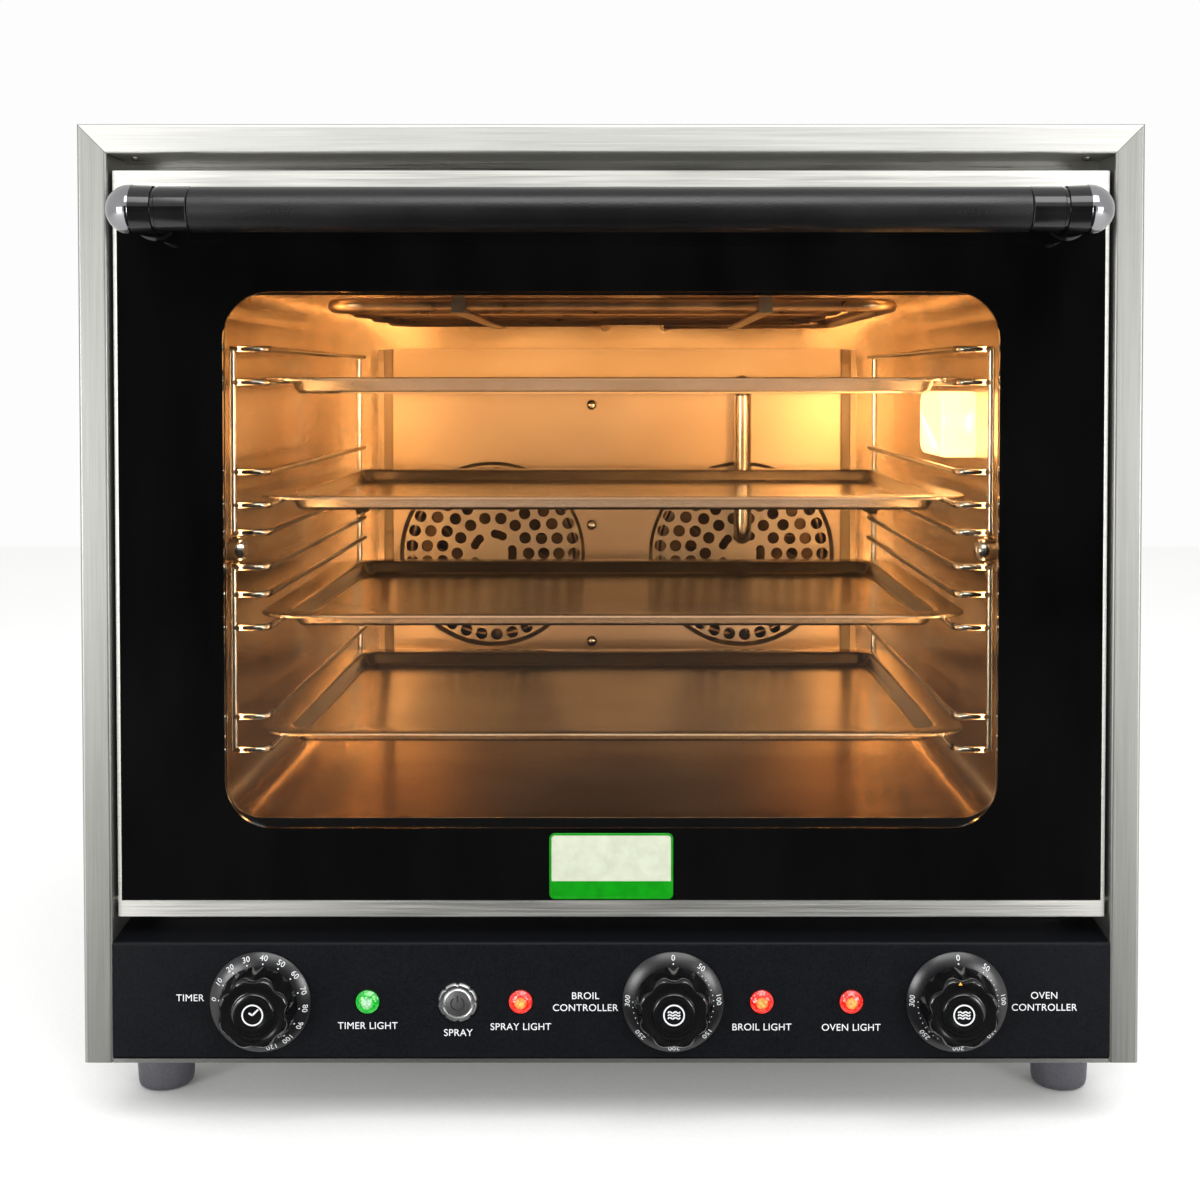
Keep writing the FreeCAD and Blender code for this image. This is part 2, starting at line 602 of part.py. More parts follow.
def ring_element(x):
    """Tubular heater round the fan wheel, with both ends through the back wall."""
    depth = CAVITY_BACK - BAFFLE_SPACE / 2 + 2
    low = -RING_END_DROP
    start = at(x - RING_END_X, depth, FAN_Z + low)
    top = at(x, depth, FAN_Z + RING_ELEMENT_RADIUS)
    end = at(x + RING_END_X, depth, FAN_Z + low)
    ring = Part.Wire(Part.Arc(start, top, end).toShape())
    way = V(low, 0, RING_END_X)
    tube_ring = ring.makePipe(Part.Face(Part.Wire(Part.makeCircle(RING_TUBE, start, way))))
    ends = []
    for point in (start, end):
        ends.append(Part.makeSphere(RING_TUBE, point))
        ends.append(rod(RING_TUBE, point, V(point.x, FRONT + BLANKET_BACK + 8, point.z)))
    return fuse([tube_ring] + ends)


def broil_element():
    """Serpentine tubular heater below the ceiling, with both ends through the back wall."""
    right = TRAY_WIDTH / 2 - 49.5
    left = -right
    turn_x = right - 28
    first = LINER_FRONT + 26
    passes = 8
    z = BROIL_Z
    outlet = BLANKET_BACK + 8
    back = CAVITY_BACK - 26 - BAFFLE_SPACE
    points = [at(BROIL_TERMINALS[1], outlet, z), at(BROIL_TERMINALS[1], back, z), at(right, back, z)]
    points.append(at(right, first, z))
    for i in range(passes - 1):
        near = first + BROIL_PITCH * i
        side = left if i % 2 == 0 else turn_x
        points += [at(side, near, z), at(side, near + BROIL_PITCH, z)]
    last = first + BROIL_PITCH * (passes - 1)
    points += [at(BROIL_TERMINALS[0], last, z), at(BROIL_TERMINALS[0], outlet, z)]
    return tube(points, BROIL_RADIUS, BROIL_PITCH / 2)


def broil_straps():
    """Two straps that carry the grill element from the ceiling."""
    low = BROIL_Z - BROIL_RADIUS - SHEET
    left, right = STRAP_X - STRAP_WIDTH / 2, STRAP_X + STRAP_WIDTH / 2
    start = LINER_FRONT + 12
    end = start + 306
    strap = fuse([box(left, right, start, end, low, low + SHEET),
                  box(left, right, start, start + SHEET, low, CAVITY_TOP),
                  box(left, right, end - SHEET, end, low, CAVITY_TOP)])
    return pair(strap)


def steam_pipe():
    """Pipe from the valve through the back wall and down to the eye of the right-hand fan."""
    hang = BAFFLE_DEPTH - STEAM_RADIUS - 4
    points = [at(FAN_X, VALVE_FRONT, STEAM_Z), at(FAN_X, hang, STEAM_Z), at(FAN_X, hang, STEAM_END),
              at(FAN_X, BAFFLE_DEPTH + 2, STEAM_END)]
    return tube(points, STEAM_RADIUS, [0, STEAM_BEND, STEAM_ELBOW, 0], STEAM_RADIUS - STEAM_WALL)


def water_valve():
    """Solenoid valve with its threaded inlet behind the back cover."""
    body = box(FAN_X - 16, FAN_X + 16, VALVE_FRONT, VALVE_FRONT + 36, STEAM_Z - 15, STEAM_Z + 15)
    coil = rod(14, at(FAN_X, VALVE_FRONT + 18, STEAM_Z + 15), at(FAN_X, VALVE_FRONT + 18, STEAM_Z + 50))
    neck = disc(INLET_RADIUS, FAN_X, STEAM_Z, VALVE_FRONT + 36, BODY_DEPTH + REAR_REACH)
    flange = disc(INLET_RADIUS + 6, FAN_X, STEAM_Z, COVER_FRONT - 3, COVER_FRONT)
    valve = fuse([body, coil, neck, flange])
    return valve.cut(disc(8, FAN_X, STEAM_Z, BODY_DEPTH - 4, BODY_DEPTH + REAR_REACH + 1))


def rack(lower):
    """Left-hand wire rack for two trays: front and rear posts, guide wires and an end bar."""
    wire = WIRE / 2
    rails = RAILS[:2] if lower else RAILS[2:]
    levels = [z + step for z in rails for step in (0, RAIL_GUARD)]
    levels.append(STUD_Z - RACK_SPLIT / 2 if lower else STUD_Z + RACK_SPLIT / 2)
    low, high = min(levels), max(levels)
    bend = 7.0
    pieces = [rod(wire, at(-POST_X, POST_DEPTH, low), at(-POST_X, POST_DEPTH, high))]
    pieces += [Part.makeSphere(wire, at(-POST_X, POST_DEPTH, z)) for z in (low, high)]
    pieces.append(rod(wire, at(-REAR_POST_X, RAIL_BACK - wire, low - wire),
                      at(-REAR_POST_X, RAIL_BACK - wire, high + wire)))
    for z in levels:
        points = [at(-POST_X, POST_DEPTH, z), at(-RAIL_X, POST_DEPTH, z), at(-RAIL_X, RAIL_BACK, z)]
        pieces.append(tube(points, wire, bend))
    return fuse(pieces)


def rack_studs():
    """Wall studs whose collars sit between the end wires of the lower and the upper rack."""
    wire = WIRE / 2
    collar = RACK_SPLIT / 2 - wire - GAP
    dome = collar - 1.5
    studs = []
    for post_x, depth in ((POST_X, POST_DEPTH), (REAR_POST_X, RAIL_BACK - wire)):
        near = -post_x - wire
        far = near + STUD_COLLAR
        stud = rod(STUD_RADIUS, at(-CAVITY_HALF, depth, STUD_Z), at(far, depth, STUD_Z))
        ring = rod(collar, at(near, depth, STUD_Z), at(far, depth, STUD_Z))
        nut = Part.makeSphere(dome, at(far, depth, STUD_Z)).common(
            rod(collar, at(far - 1, depth, STUD_Z), at(far + dome / 2, depth, STUD_Z)))
        studs += pair(fuse([stud, ring, nut]))
    return studs


def tray(rail_z):
    """Baking tray: a shallow pan with a flat rim that rests on the rails."""
    half = TRAY_WIDTH / 2
    top = rail_z + WIRE / 2 + TRAY_SHEET
    floor = top - TRAY_HEIGHT
    corner = TRAY_CORNER - 6

    def layer(inset, radius, z0, z1):
        x = half - inset
        near, far = TRAY_SETBACK + inset, TRAY_BACK - inset
        points = [at(-x, near, z0), at(x, near, z0), at(x, far, z0), at(-x, far, z0)]
        return slab(points, radius, V(0, 0, z1 - z0))

    rim = layer(0, TRAY_CORNER, top - TRAY_SHEET, top)
    outer = layer(TRAY_RIM, corner, floor, top)
    bottom = [edge for edge in outer.Edges if edge.BoundBox.ZMax < floor + 0.01]
    outer = outer.makeFillet(3.0, bottom)
    inner = layer(TRAY_RIM + TRAY_SHEET, corner - TRAY_SHEET, floor + TRAY_SHEET, top + 1)
    bottom = [edge for edge in inner.Edges if edge.BoundBox.ZMax < floor + TRAY_SHEET + 0.01]
    inner = inner.makeFillet(2.0, bottom)
    return rim.fuse(outer).cut(inner).removeSplitter()


# ---------------------------------------------------------------- door
def door_frame():
    """Pan between the rails: sides and a back with a window."""
    low = DOOR_LOW + BOTTOM_RAIL
    high = DOOR_HIGH - TOP_RAIL
    wall = 2.0
    pan = box(-DOOR_HALF, DOOR_HALF, DOOR_SETBACK, DOOR_BACK, low, high)
    pan = pan.cut(box(-DOOR_HALF + wall, DOOR_HALF - wall, DOOR_SETBACK - 1, DOOR_BACK - SHEET,
                      low - 1, high + 1))
    edge = 8.0
    return pan.cut(rounded_plate(-CAVITY_HALF + edge, CAVITY_HALF - edge, CAVITY_FLOOR + edge,
                                 CAVITY_TOP - edge, CAVITY_CORNER, DOOR_BACK - 5, DOOR_BACK + 5))


def door_outer_glass():
    """Front pane."""
    wall = 2.0
    return box(-DOOR_HALF + wall, DOOR_HALF - wall, DOOR_SETBACK, DOOR_SETBACK + GLASS,
               DOOR_LOW + BOTTOM_RAIL, DOOR_HIGH - TOP_RAIL)


def door_inner_glass():
    """Pane behind the window of the door frame."""
    lap = 12.0
    back = DOOR_BACK - SHEET
    return rounded_plate(-CAVITY_HALF - lap, CAVITY_HALF + lap, CAVITY_FLOOR - lap, CAVITY_TOP + lap, 4.0,
                         back - GLASS, back)


def door_rails():
    """Top rail and bottom rail, each a folded channel with closed ends."""
    def rail(low, high, mouth_low, mouth_high):
        bar = box(-DOOR_HALF, DOOR_HALF, DOOR_SETBACK, DOOR_BACK, low, high)
        inside = box(-DOOR_HALF + SHEET, DOOR_HALF - SHEET, DOOR_SETBACK + SHEET, DOOR_BACK - SHEET,
                     mouth_low, mouth_high)
        return bar.cut(inside)
    top = rail(DOOR_HIGH - TOP_RAIL, DOOR_HIGH, DOOR_HIGH - TOP_RAIL - 1, DOOR_HIGH - SHEET)
    bottom = rail(DOOR_LOW, DOOR_LOW + BOTTOM_RAIL, DOOR_LOW + SHEET, DOOR_LOW + BOTTOM_RAIL + 1)
    pivot = rod(PIN_RADIUS + GAP, at(-HALF, PIVOT_DEPTH, PIVOT_Z), at(HALF, PIVOT_DEPTH, PIVOT_Z))
    return [top, bottom.cut(pivot)]


def hinge_arms():
    """Blocks inside the door that turn on the hinge pins."""
    outer = DOOR_HALF - 2.0
    inner = outer - HINGE_BLOCK
    length = 76.0
    half = 6.6
    arm = box(inner, outer, PIVOT_DEPTH - half, PIVOT_DEPTH + half, DOOR_LOW + SHEET, PIVOT_Z + length)
    arm = arm.cut(rod(PIN_RADIUS + RUNNING_FIT, at(0, PIVOT_DEPTH, PIVOT_Z), at(HALF, PIVOT_DEPTH, PIVOT_Z)))
    return pair(arm)


def hinge_pins():
    """Stepped pins in brackets behind the bezel's returns, with the washers that show beside the door."""
    inner = DOOR_HALF - 2.0 - HINGE_BLOCK
    shelf = MOUTH + SHEET
    spindle = rod(PIN_RADIUS, at(inner, PIVOT_DEPTH, PIVOT_Z), at(shelf + 6, PIVOT_DEPTH, PIVOT_Z))
    washer = rod(BARREL_RADIUS + 1.5, at(DOOR_HALF + GAP, PIVOT_DEPTH, PIVOT_Z),
                 at(MOUTH, PIVOT_DEPTH, PIVOT_Z))
    bracket = box(shelf, shelf + 6, PIVOT_DEPTH - 10, PIVOT_DEPTH + 10, PIVOT_Z - 12, PIVOT_Z + 16)
    barrel = rod(BARREL_RADIUS, at(MOUTH, PIVOT_DEPTH, PIVOT_Z), at(shelf, PIVOT_DEPTH, PIVOT_Z))
    return pair(fuse([spindle, washer, barrel, bracket]))


def handle_tube():
    """Grip of the door handle."""
    half = HANDLE_GRIP / 2
    start = at(-half, HANDLE_DEPTH, HANDLE_Z)
    end = at(half, HANDLE_DEPTH, HANDLE_Z)
    return rod(HANDLE_RADIUS, start, end).cut(rod(HANDLE_RADIUS - 1.5, start, end))


def handle_ends():
    """Sleeve, ball and arm at each end of the handle."""
    grip = HANDLE_GRIP / 2
    sleeve = rod(HANDLE_RADIUS + 0.3, at(grip, HANDLE_DEPTH, HANDLE_Z), at(BALL_X, HANDLE_DEPTH, HANDLE_Z))
    ball = Part.makeSphere(HANDLE_BALL, at(BALL_X, HANDLE_DEPTH, HANDLE_Z))
    arm = rod(HANDLE_BALL - 2.2, at(BALL_X, HANDLE_DEPTH, HANDLE_Z), at(BALL_X, DOOR_SETBACK, HANDLE_Z))
    return pair(fuse([sleeve, ball, arm]))


def door_badge():
    """Small blank plate on the lower border of the glass."""
    half = BADGE_WIDTH / 2
    low = DOOR_LOW + BOTTOM_RAIL + 1.0
    return rounded_plate(-half, half, low, low + BADGE_HEIGHT, 3.0,
                         DOOR_SETBACK - BADGE_THICKNESS, DOOR_SETBACK)


# ---------------------------------------------------------------- controls
def control_panel():
    """Folded sheet: bottom hem, front face and a top that slopes up to the face frame."""
    points = [(10, PANEL_LOW), (0, PANEL_LOW), (0, PANEL_TOP), (BEZEL_RETURN, PANEL_TOP + PANEL_RISE)]
    points = points[::-1]
    sheet = folded_sheet(points, lambda depth, z: at(-MOUTH, depth, z), V(2 * MOUTH, 0, 0), bend=0.8)
    holes = [disc(NECK_RADIUS + GAP, x, CONTROL_HEIGHT, -1, 3) for x in (TIMER_X, BROIL_X, OVEN_X)]
    holes += [disc(LENS_RADIUS - 0.6, x, CONTROL_HEIGHT, -1, 3) for x in (TIMER_LIGHT_X,) + RED_LIGHTS_X]
    holes.append(disc(BUTTON_RADIUS + 1.4, BUTTON_X, CONTROL_HEIGHT, -1, 3))
    return sheet.cut(holes)


def dial_rings():
    """Fixed conical skirts that carry the scales."""
    inner = KNOB_RADIUS + 0.7
    profile = [(inner, 0), (inner, -4.6), (inner + 0.8, -5.0), (RING_RADIUS, -1.2), (RING_RADIUS, 0)]
    return [turned(profile, x, CONTROL_HEIGHT) for x in (TIMER_X, BROIL_X, OVEN_X)]


def knob(x):
    """Knob with a scalloped grip and a raised middle."""
    base = -1.0
    tip = base - KNOB_DEPTH
    face = KNOB_RADIUS - 2.6
    profile = [(0, base), (KNOB_RADIUS, base), (KNOB_RADIUS, base - 3), (face + 1.2, tip + 1.5), (face, tip),
               (12.5, tip), (12.0, tip + 1.0), (11.5, tip), (10.8, tip - 0.7), (0, tip - 0.7)]
    body = turned(profile, x, CONTROL_HEIGHT)
    flutes = []
    count = 8
    flute = 5.0
    for i in range(count):
        angle = 2 * math.pi * (i + 0.5) / count
        reach = KNOB_RADIUS + flute - 2.2
        flutes.append(disc(flute, x + reach * math.cos(angle), CONTROL_HEIGHT + reach * math.sin(angle),
                           base - 4, tip - 2))
    body = body.cut(flutes)
    return body.cut(disc(SPINDLE_RADIUS, x, CONTROL_HEIGHT, base + 1, base - 12))


def spindle(x):
    """Shaft of a control, from the knob into the unit behind the panel."""
    return disc(SPINDLE_RADIUS, x, CONTROL_HEIGHT, -13, 22)


def control_unit(x, half_x, half_z, depth):
    """Control behind the panel: body, collar and threaded neck."""
    seat = SHEET
    body = box(x - half_x, x + half_x, seat + 3, seat + 3 + depth,
               CONTROL_HEIGHT - half_z, CONTROL_HEIGHT + half_z)
    collar = disc(11, x, CONTROL_HEIGHT, seat, seat + 3)
    neck = disc(NECK_RADIUS, x, CONTROL_HEIGHT, -0.7, seat)
    unit = fuse([body, collar, neck])
    return unit.cut(disc(SPINDLE_RADIUS + RUNNING_FIT, x, CONTROL_HEIGHT, -2, seat + 22))


def timer_unit():
    """Clockwork timer."""
    return control_unit(TIMER_X, 24, 22, 36)


def thermostats():
    """Thermostats of the grill and the oven."""
    return [control_unit(x, 20, 16, 30) for x in (BROIL_X, OVEN_X)]


def light(x):
    """Indicator light: domed lens with its body through the panel."""
    dome = 2.6
    curve = (LENS_RADIUS ** 2 + dome ** 2) / (2 * dome)
    ball = Part.makeSphere(curve, at(x, curve - dome - 1.0, CONTROL_HEIGHT))
    lens = ball.common(disc(LENS_RADIUS, x, CONTROL_HEIGHT, -dome - 2, -1.0))
    rim = disc(LENS_RADIUS, x, CONTROL_HEIGHT, -1.0, 0)
    body = disc(LENS_RADIUS - 1.0, x, CONTROL_HEIGHT, 0, 22)
    return fuse([lens, rim, body])


def button_collar():
    """Metal ring of the push button and its sleeve behind the panel."""
    outer = BUTTON_RADIUS + BUTTON_RIM
    bore = BUTTON_RADIUS + RUNNING_FIT
    profile = [(bore, -2.6), (outer - 1.2, -2.6), (outer, -1.2), (outer, 0), (BUTTON_RADIUS + 1.2, 0),
               (BUTTON_RADIUS + 1.2, SWITCH_FRONT), (bore, SWITCH_FRONT)]
    return turned(profile, BUTTON_X, CONTROL_HEIGHT)


def button_cap():
    """Push-button cap that slides in the collar."""
    profile = [(0, -3.6), (BUTTON_RADIUS - 1.5, -3.4), (BUTTON_RADIUS, -2.6),
               (BUTTON_RADIUS, SWITCH_FRONT - BUTTON_TRAVEL - GAP), (0, SWITCH_FRONT - BUTTON_TRAVEL - GAP)]
    return turned(profile, BUTTON_X, CONTROL_HEIGHT)


def spray_switch():
    """Switch block behind the push button."""
    half_x, half_z, depth = 13.0, 12.0, 22.0
    return box(BUTTON_X - half_x, BUTTON_X + half_x, SWITCH_FRONT, SWITCH_FRONT + depth,
               CONTROL_HEIGHT - half_z, CONTROL_HEIGHT + half_z)


# ---------------------------------------------------------------- feet, fittings and fasteners
def feet():
    """Four tapered rubber feet."""
    shapes = []
    x = HALF - FOOT_INSET_X
    for depth in (FOOT_INSET_FRONT, BODY_DEPTH - FOOT_INSET_BACK):
        foot = Part.makeCone(FOOT_BOTTOM_RADIUS, FOOT_TOP_RADIUS, FOOT_HEIGHT, at(x, depth, 0))
        lower = [edge for edge in foot.Edges if edge.BoundBox.ZMax < 0.01]
        shapes += pair(foot.makeFillet(1.5, lower))
    return shapes


def cable_gland():
    """Gland for the supply lead: hexagon, dome nut and inner thread with its nut."""
    hexagon = [at(GLAND_X + (GLAND_RADIUS + 2) * math.cos(math.pi / 3 * i), BODY_DEPTH,
                  GLAND_Z + (GLAND_RADIUS + 2) * math.sin(math.pi / 3 * i)) for i in range(6)]
    flange = slab(hexagon, 0, V(0, 5, 0))
    end = BODY_DEPTH + REAR_REACH - 2
    dome = turned([(0, BODY_DEPTH + 5), (GLAND_RADIUS, BODY_DEPTH + 5), (GLAND_RADIUS, BODY_DEPTH + 12),
                   (GLAND_RADIUS - 4, end), (0, end)], GLAND_X, GLAND_Z)
    thread = disc(GLAND_RADIUS - 2, GLAND_X, GLAND_Z, COVER_FRONT - 9, BODY_DEPTH)
    nut = disc(GLAND_RADIUS + 2, GLAND_X, GLAND_Z, COVER_FRONT - 4, COVER_FRONT)
    gland = fuse([flange, dome, thread, nut])
    return gland.cut(disc(GLAND_BORE, GLAND_X, GLAND_Z, COVER_FRONT - 12, BODY_DEPTH + REAR_REACH + 1))


def terminal_block():
    """Mains terminals on the chassis floor, next to the gland."""
    low = FOOT_HEIGHT + SHEET
    block = box(GLAND_X - 28, GLAND_X + 28, BODY_DEPTH - 60, BODY_DEPTH - 40, low, low + 18)
    wells = [disc(3.5, GLAND_X + 16 * i, low + 10, BODY_DEPTH - 61, BODY_DEPTH - 46) for i in (-1, 0, 1)]
    return block.cut(wells)


def screws():
    """Domed rivets under the bezel's top bar, and the screws of the baffle and the back wall."""
    heads = []
    rivet_z = HEIGHT - BEZEL_WIDTH
    rivet_x = MOUTH - 11.0
    for x in (-rivet_x, rivet_x):
        ball = Part.makeSphere(3.6, at(x, 18, rivet_z + 1.6))
        heads.append(ball.common(box(x - 5, x + 5, 13, 23, rivet_z - 5, rivet_z)))
    middle = GUARD_RADIUS + 4.6 - FAN_X
    wall = CAVITY_HALF - 66.0
    places = [(middle, STEAM_Z - 16.6, BAFFLE_DEPTH), (middle, FAN_Z + 23.9, BAFFLE_DEPTH),
              (middle, FAN_Z - 70.6, BAFFLE_DEPTH), (-wall, CAVITY_TOP - 7, CAVITY_BACK),
              (wall, CAVITY_TOP - 7, CAVITY_BACK)]
    for x, z, depth in places:
        ball = Part.makeSphere(5.0, at(x, depth + 2.6, z))
        heads.append(ball.common(box(x - 6, x + 6, depth - 6, depth, z - 6, z + 6)))
    return heads


# ---------------------------------------------------------------- nodes
NODES = {
    "outer_casing": outer_casing,
    "back_cover": back_cover,
    "base_plate": base_plate,
    "front_bezel": front_bezel,
    "face_frame": face_frame,
    "door_gasket": door_gasket,
    "oven_liner": oven_liner,
    "insulation_blanket": insulation_blanket,
    "lamp_holder": lamp_holder,
    "lamp_bulb": lamp_bulb,
    "lamp_cover": lamp_cover,
    "fan_baffle": fan_baffle,
    "fan_guard_left": lambda: fan_guard(-FAN_X),
    "fan_guard_right": lambda: fan_guard(FAN_X),
    "fan_wheel_left": lambda: fan_wheel(-FAN_X),
    "fan_wheel_right": lambda: fan_wheel(FAN_X),
    "fan_shaft_left": lambda: fan_shaft(-FAN_X),
    "fan_shaft_right": lambda: fan_shaft(FAN_X),
    "fan_motors": lambda: [fan_motor(side * FAN_X) for side in (-1, 1)],
    "ring_elements": lambda: [ring_element(side * FAN_X) for side in (-1, 1)],
    "broil_element": broil_element,
    "broil_straps": broil_straps,
    "steam_pipe": steam_pipe,
    "water_valve": water_valve,
    "rack_left": lambda: [rack(True), rack(False)],
    "rack_right": lambda: [mirrored(rack(True)), mirrored(rack(False))],
    "rack_studs": rack_studs,
    "door_frame": door_frame,
    "door_outer_glass": door_outer_glass,
    "door_inner_glass": door_inner_glass,
    "door_rails": door_rails,
    "hinge_arms": hinge_arms,
    "hinge_pins": hinge_pins,
    "handle_tube": handle_tube,
    "handle_ends": handle_ends,
    "door_badge": door_badge,
    "control_panel": control_panel,
    "dial_rings": dial_rings,
    "timer_knob": lambda: knob(TIMER_X),
    "broil_knob": lambda: knob(BROIL_X),
    "oven_knob": lambda: knob(OVEN_X),
    "timer_spindle": lambda: spindle(TIMER_X),
    "broil_spindle": lambda: spindle(BROIL_X),
    "oven_spindle": lambda: spindle(OVEN_X),
    "timer_unit": timer_unit,
    "thermostats": thermostats,
    "timer_light": lambda: light(TIMER_LIGHT_X),
    "red_lights": lambda: [light(x) for x in RED_LIGHTS_X],
    "button_collar": button_collar,
    "button_cap": button_cap,
    "spray_switch": spray_switch,
    "feet": feet,
    "cable_gland": cable_gland,
    "terminal_block": terminal_block,
    "screws": screws,
}
for number, rail_z in enumerate(RAILS, 1):
    NODES[f"tray_{number}"] = lambda rail_z=rail_z: tray(rail_z)

os.makedirs("parts", exist_ok=True)
for node, make in NODES.items():
    made = make()
    solids = made if isinstance(made, list) else [made]
    solids = [solid for shape in solids for solid in shape.Solids]
    assert all(solid.isValid() for solid in solids), node
    shape = solids[0] if len(solids) == 1 else Part.makeCompound(solids)
    shape.exportStep(f"parts/{node}.step")
    print(node, len(solids), "solid(s)", round(sum(solid.Volume for solid in solids) / 1000, 1), "cm3")
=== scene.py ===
# %% [markdown]
# # A counter-top tray oven
# The oven is a box of brushed stainless steel with a black control panel, a drop-down glass door and a
# cavity of polished steel with four trays, two fans and a warm lamp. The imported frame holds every
# mechanical piece at its real size. This file gives each of them its finish, and builds the pieces whose
# looks need more than a plain solid: glass, handle, knobs, dials, lamps, lettering, trays and feet.

# %% Load the frame
import math

import bpy
import bmesh
from mathutils import Matrix, Vector


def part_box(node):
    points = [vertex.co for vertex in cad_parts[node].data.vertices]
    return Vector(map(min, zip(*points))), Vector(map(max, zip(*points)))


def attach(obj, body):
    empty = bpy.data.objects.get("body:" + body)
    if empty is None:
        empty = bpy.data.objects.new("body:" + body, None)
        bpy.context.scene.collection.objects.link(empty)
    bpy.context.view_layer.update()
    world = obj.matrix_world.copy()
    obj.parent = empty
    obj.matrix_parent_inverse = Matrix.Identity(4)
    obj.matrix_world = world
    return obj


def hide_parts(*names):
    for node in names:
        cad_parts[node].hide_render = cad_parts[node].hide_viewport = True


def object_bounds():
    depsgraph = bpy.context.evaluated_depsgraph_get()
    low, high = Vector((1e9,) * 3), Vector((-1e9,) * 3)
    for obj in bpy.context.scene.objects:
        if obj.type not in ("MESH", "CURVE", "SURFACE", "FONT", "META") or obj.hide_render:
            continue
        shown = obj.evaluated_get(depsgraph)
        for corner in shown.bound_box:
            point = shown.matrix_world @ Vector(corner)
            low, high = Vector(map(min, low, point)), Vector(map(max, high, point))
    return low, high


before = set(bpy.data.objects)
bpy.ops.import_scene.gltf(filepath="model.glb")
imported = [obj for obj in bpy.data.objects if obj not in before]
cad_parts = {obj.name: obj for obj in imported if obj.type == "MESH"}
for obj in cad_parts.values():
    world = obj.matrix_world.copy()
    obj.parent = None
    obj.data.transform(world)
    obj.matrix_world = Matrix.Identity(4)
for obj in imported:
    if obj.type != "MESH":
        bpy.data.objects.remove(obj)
cad_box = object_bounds()
MM = 0.001
print("frame", [round(c / MM, 1) for corner in cad_box for c in corner])


# %% [markdown]
# ## Helpers for colour and nodes
# Colours are written as sRGB hex values, as a paint chart gives them, and one function turns them into
# the linear values that a shader works with. One small function adds a node with its settings and links.

# %% Colour and nodes
def colour(code):
    """Linear colour of an sRGB hex value."""
    parts = [int(code[i:i + 2], 16) / 255 for i in (1, 3, 5)]
    return [c / 12.92 if c <= 0.04045 else ((c + 0.055) / 1.055) ** 2.4 for c in parts] + [1.0]


def add(tree, kind, inputs={}, **settings):
    """Node of a kind, with its settings, and each input either set or linked."""
    node = tree.nodes.new("ShaderNode" + kind)
    for name, value in settings.items():
        setattr(node, name, value)
    for name, value in inputs.items():
        if isinstance(value, bpy.types.NodeSocket):
            tree.links.new(value, node.inputs[name])
        else:
            node.inputs[name].default_value = value
    return node


def finish(name, **values):
    """New material with one Principled shader; values are its sockets, and colours are hex values."""
    material = bpy.data.materials.new(name)
    material.use_nodes = True
    shader = material.node_tree.nodes["Principled BSDF"]
    for key, value in values.items():
        socket = shader.inputs[key.replace("_", " ")]
        socket.default_value = colour(value) if isinstance(value, str) else value
    return material


def shader_of(material):
    """The tree of a material and its Principled shader."""
    return material.node_tree, material.node_tree.nodes["Principled BSDF"]


def grain(tree, size, detail=2.0, stretch=(1, 1, 1)):
    """Noise whose features are size metres across, longer along an axis by its stretch."""
    place = add(tree, "TexCoord").outputs["Object"]
    scale = add(tree, "Mapping", {"Vector": place, "Scale": [1 / s for s in stretch]})
    return add(tree, "TexNoise", {"Vector": scale.outputs[0], "Scale": 1 / size, "Detail": detail}).outputs[0]


def spread(tree, value, low, high):
    """A value between 0.3 and 0.7, as noise mostly is, spread over low to high."""
    return add(tree, "MapRange", {"Value": value, "From Min": 0.3, "From Max": 0.7,
                                  "To Min": low, "To Max": high}).outputs[0]


def tint(tree, value, dark, light):
    """Colour between two hex values."""
    ramp = add(tree, "ValToRGB", {"Fac": value})
    ramp.color_ramp.elements[0].position = 0.3
    ramp.color_ramp.elements[1].position = 0.7
    ramp.color_ramp.elements[0].color = colour(dark)
    ramp.color_ramp.elements[1].color = colour(light)
    return ramp.outputs[0]


def relief(tree, shader, height, depth):
    """Bump of a real depth in metres."""
    bump = add(tree, "Bump", {"Height": height, "Distance": depth, "Strength": 1.0})
    tree.links.new(bump.outputs[0], shader.inputs["Normal"])


# %% [markdown]
# ## Brushed stainless steel
# The casing, the bezel and the door's rails are 304 stainless sheet with a number 4 finish: a belt leaves
# long fine scratches in one direction. The eye sees soft vertical or horizontal streaks in the gloss
# rather than the scratches themselves. Real scratches are 0.05 mm wide, too fine to show, so they are
# drawn 0.7 mm wide. On the mitred bezel the grain runs along each bar and turns at the mitre. An image or
# an anisotropic shader could do it too; stretched noise keeps a real size and needs no unwrapping.

# %% Brushed stainless
SCRATCH = 0.7 * MM
SCRATCH_DEPTH = 0.002 * MM
SCRATCH_LENGTH = 90.0        # how many times longer than wide
HANDLED = 120 * MM           # size of the faint clouds that wiping leaves
half_width = cad_box[1].x
top = cad_box[1].z


def brushed(name, base, dark, rough, along):
    """Stainless sheet brushed along one axis."""
    material = finish(name, Metallic=1.0, Base_Color=base)
    tree, shader = shader_of(material)
    stretch = [SCRATCH_LENGTH if axis == along else 1.0 for axis in "XYZ"]
    lines = grain(tree, SCRATCH, 3.0, stretch)
    cloud = grain(tree, HANDLED, 1.0)
    tree.links.new(tint(tree, lines, dark, base), shader.inputs["Base Color"])
    streaks = spread(tree, lines, -0.06, 0.06)
    handling = spread(tree, cloud, rough - 0.02, rough + 0.03)
    blend = add(tree, "Math", {0: streaks, 1: handling}, operation="ADD")
    tree.links.new(blend.outputs[0], shader.inputs["Roughness"])
    relief(tree, shader, lines, SCRATCH_DEPTH)
    return material


MITRE_SEAM = 0.22 * MM       # half the width of the line where two bars meet


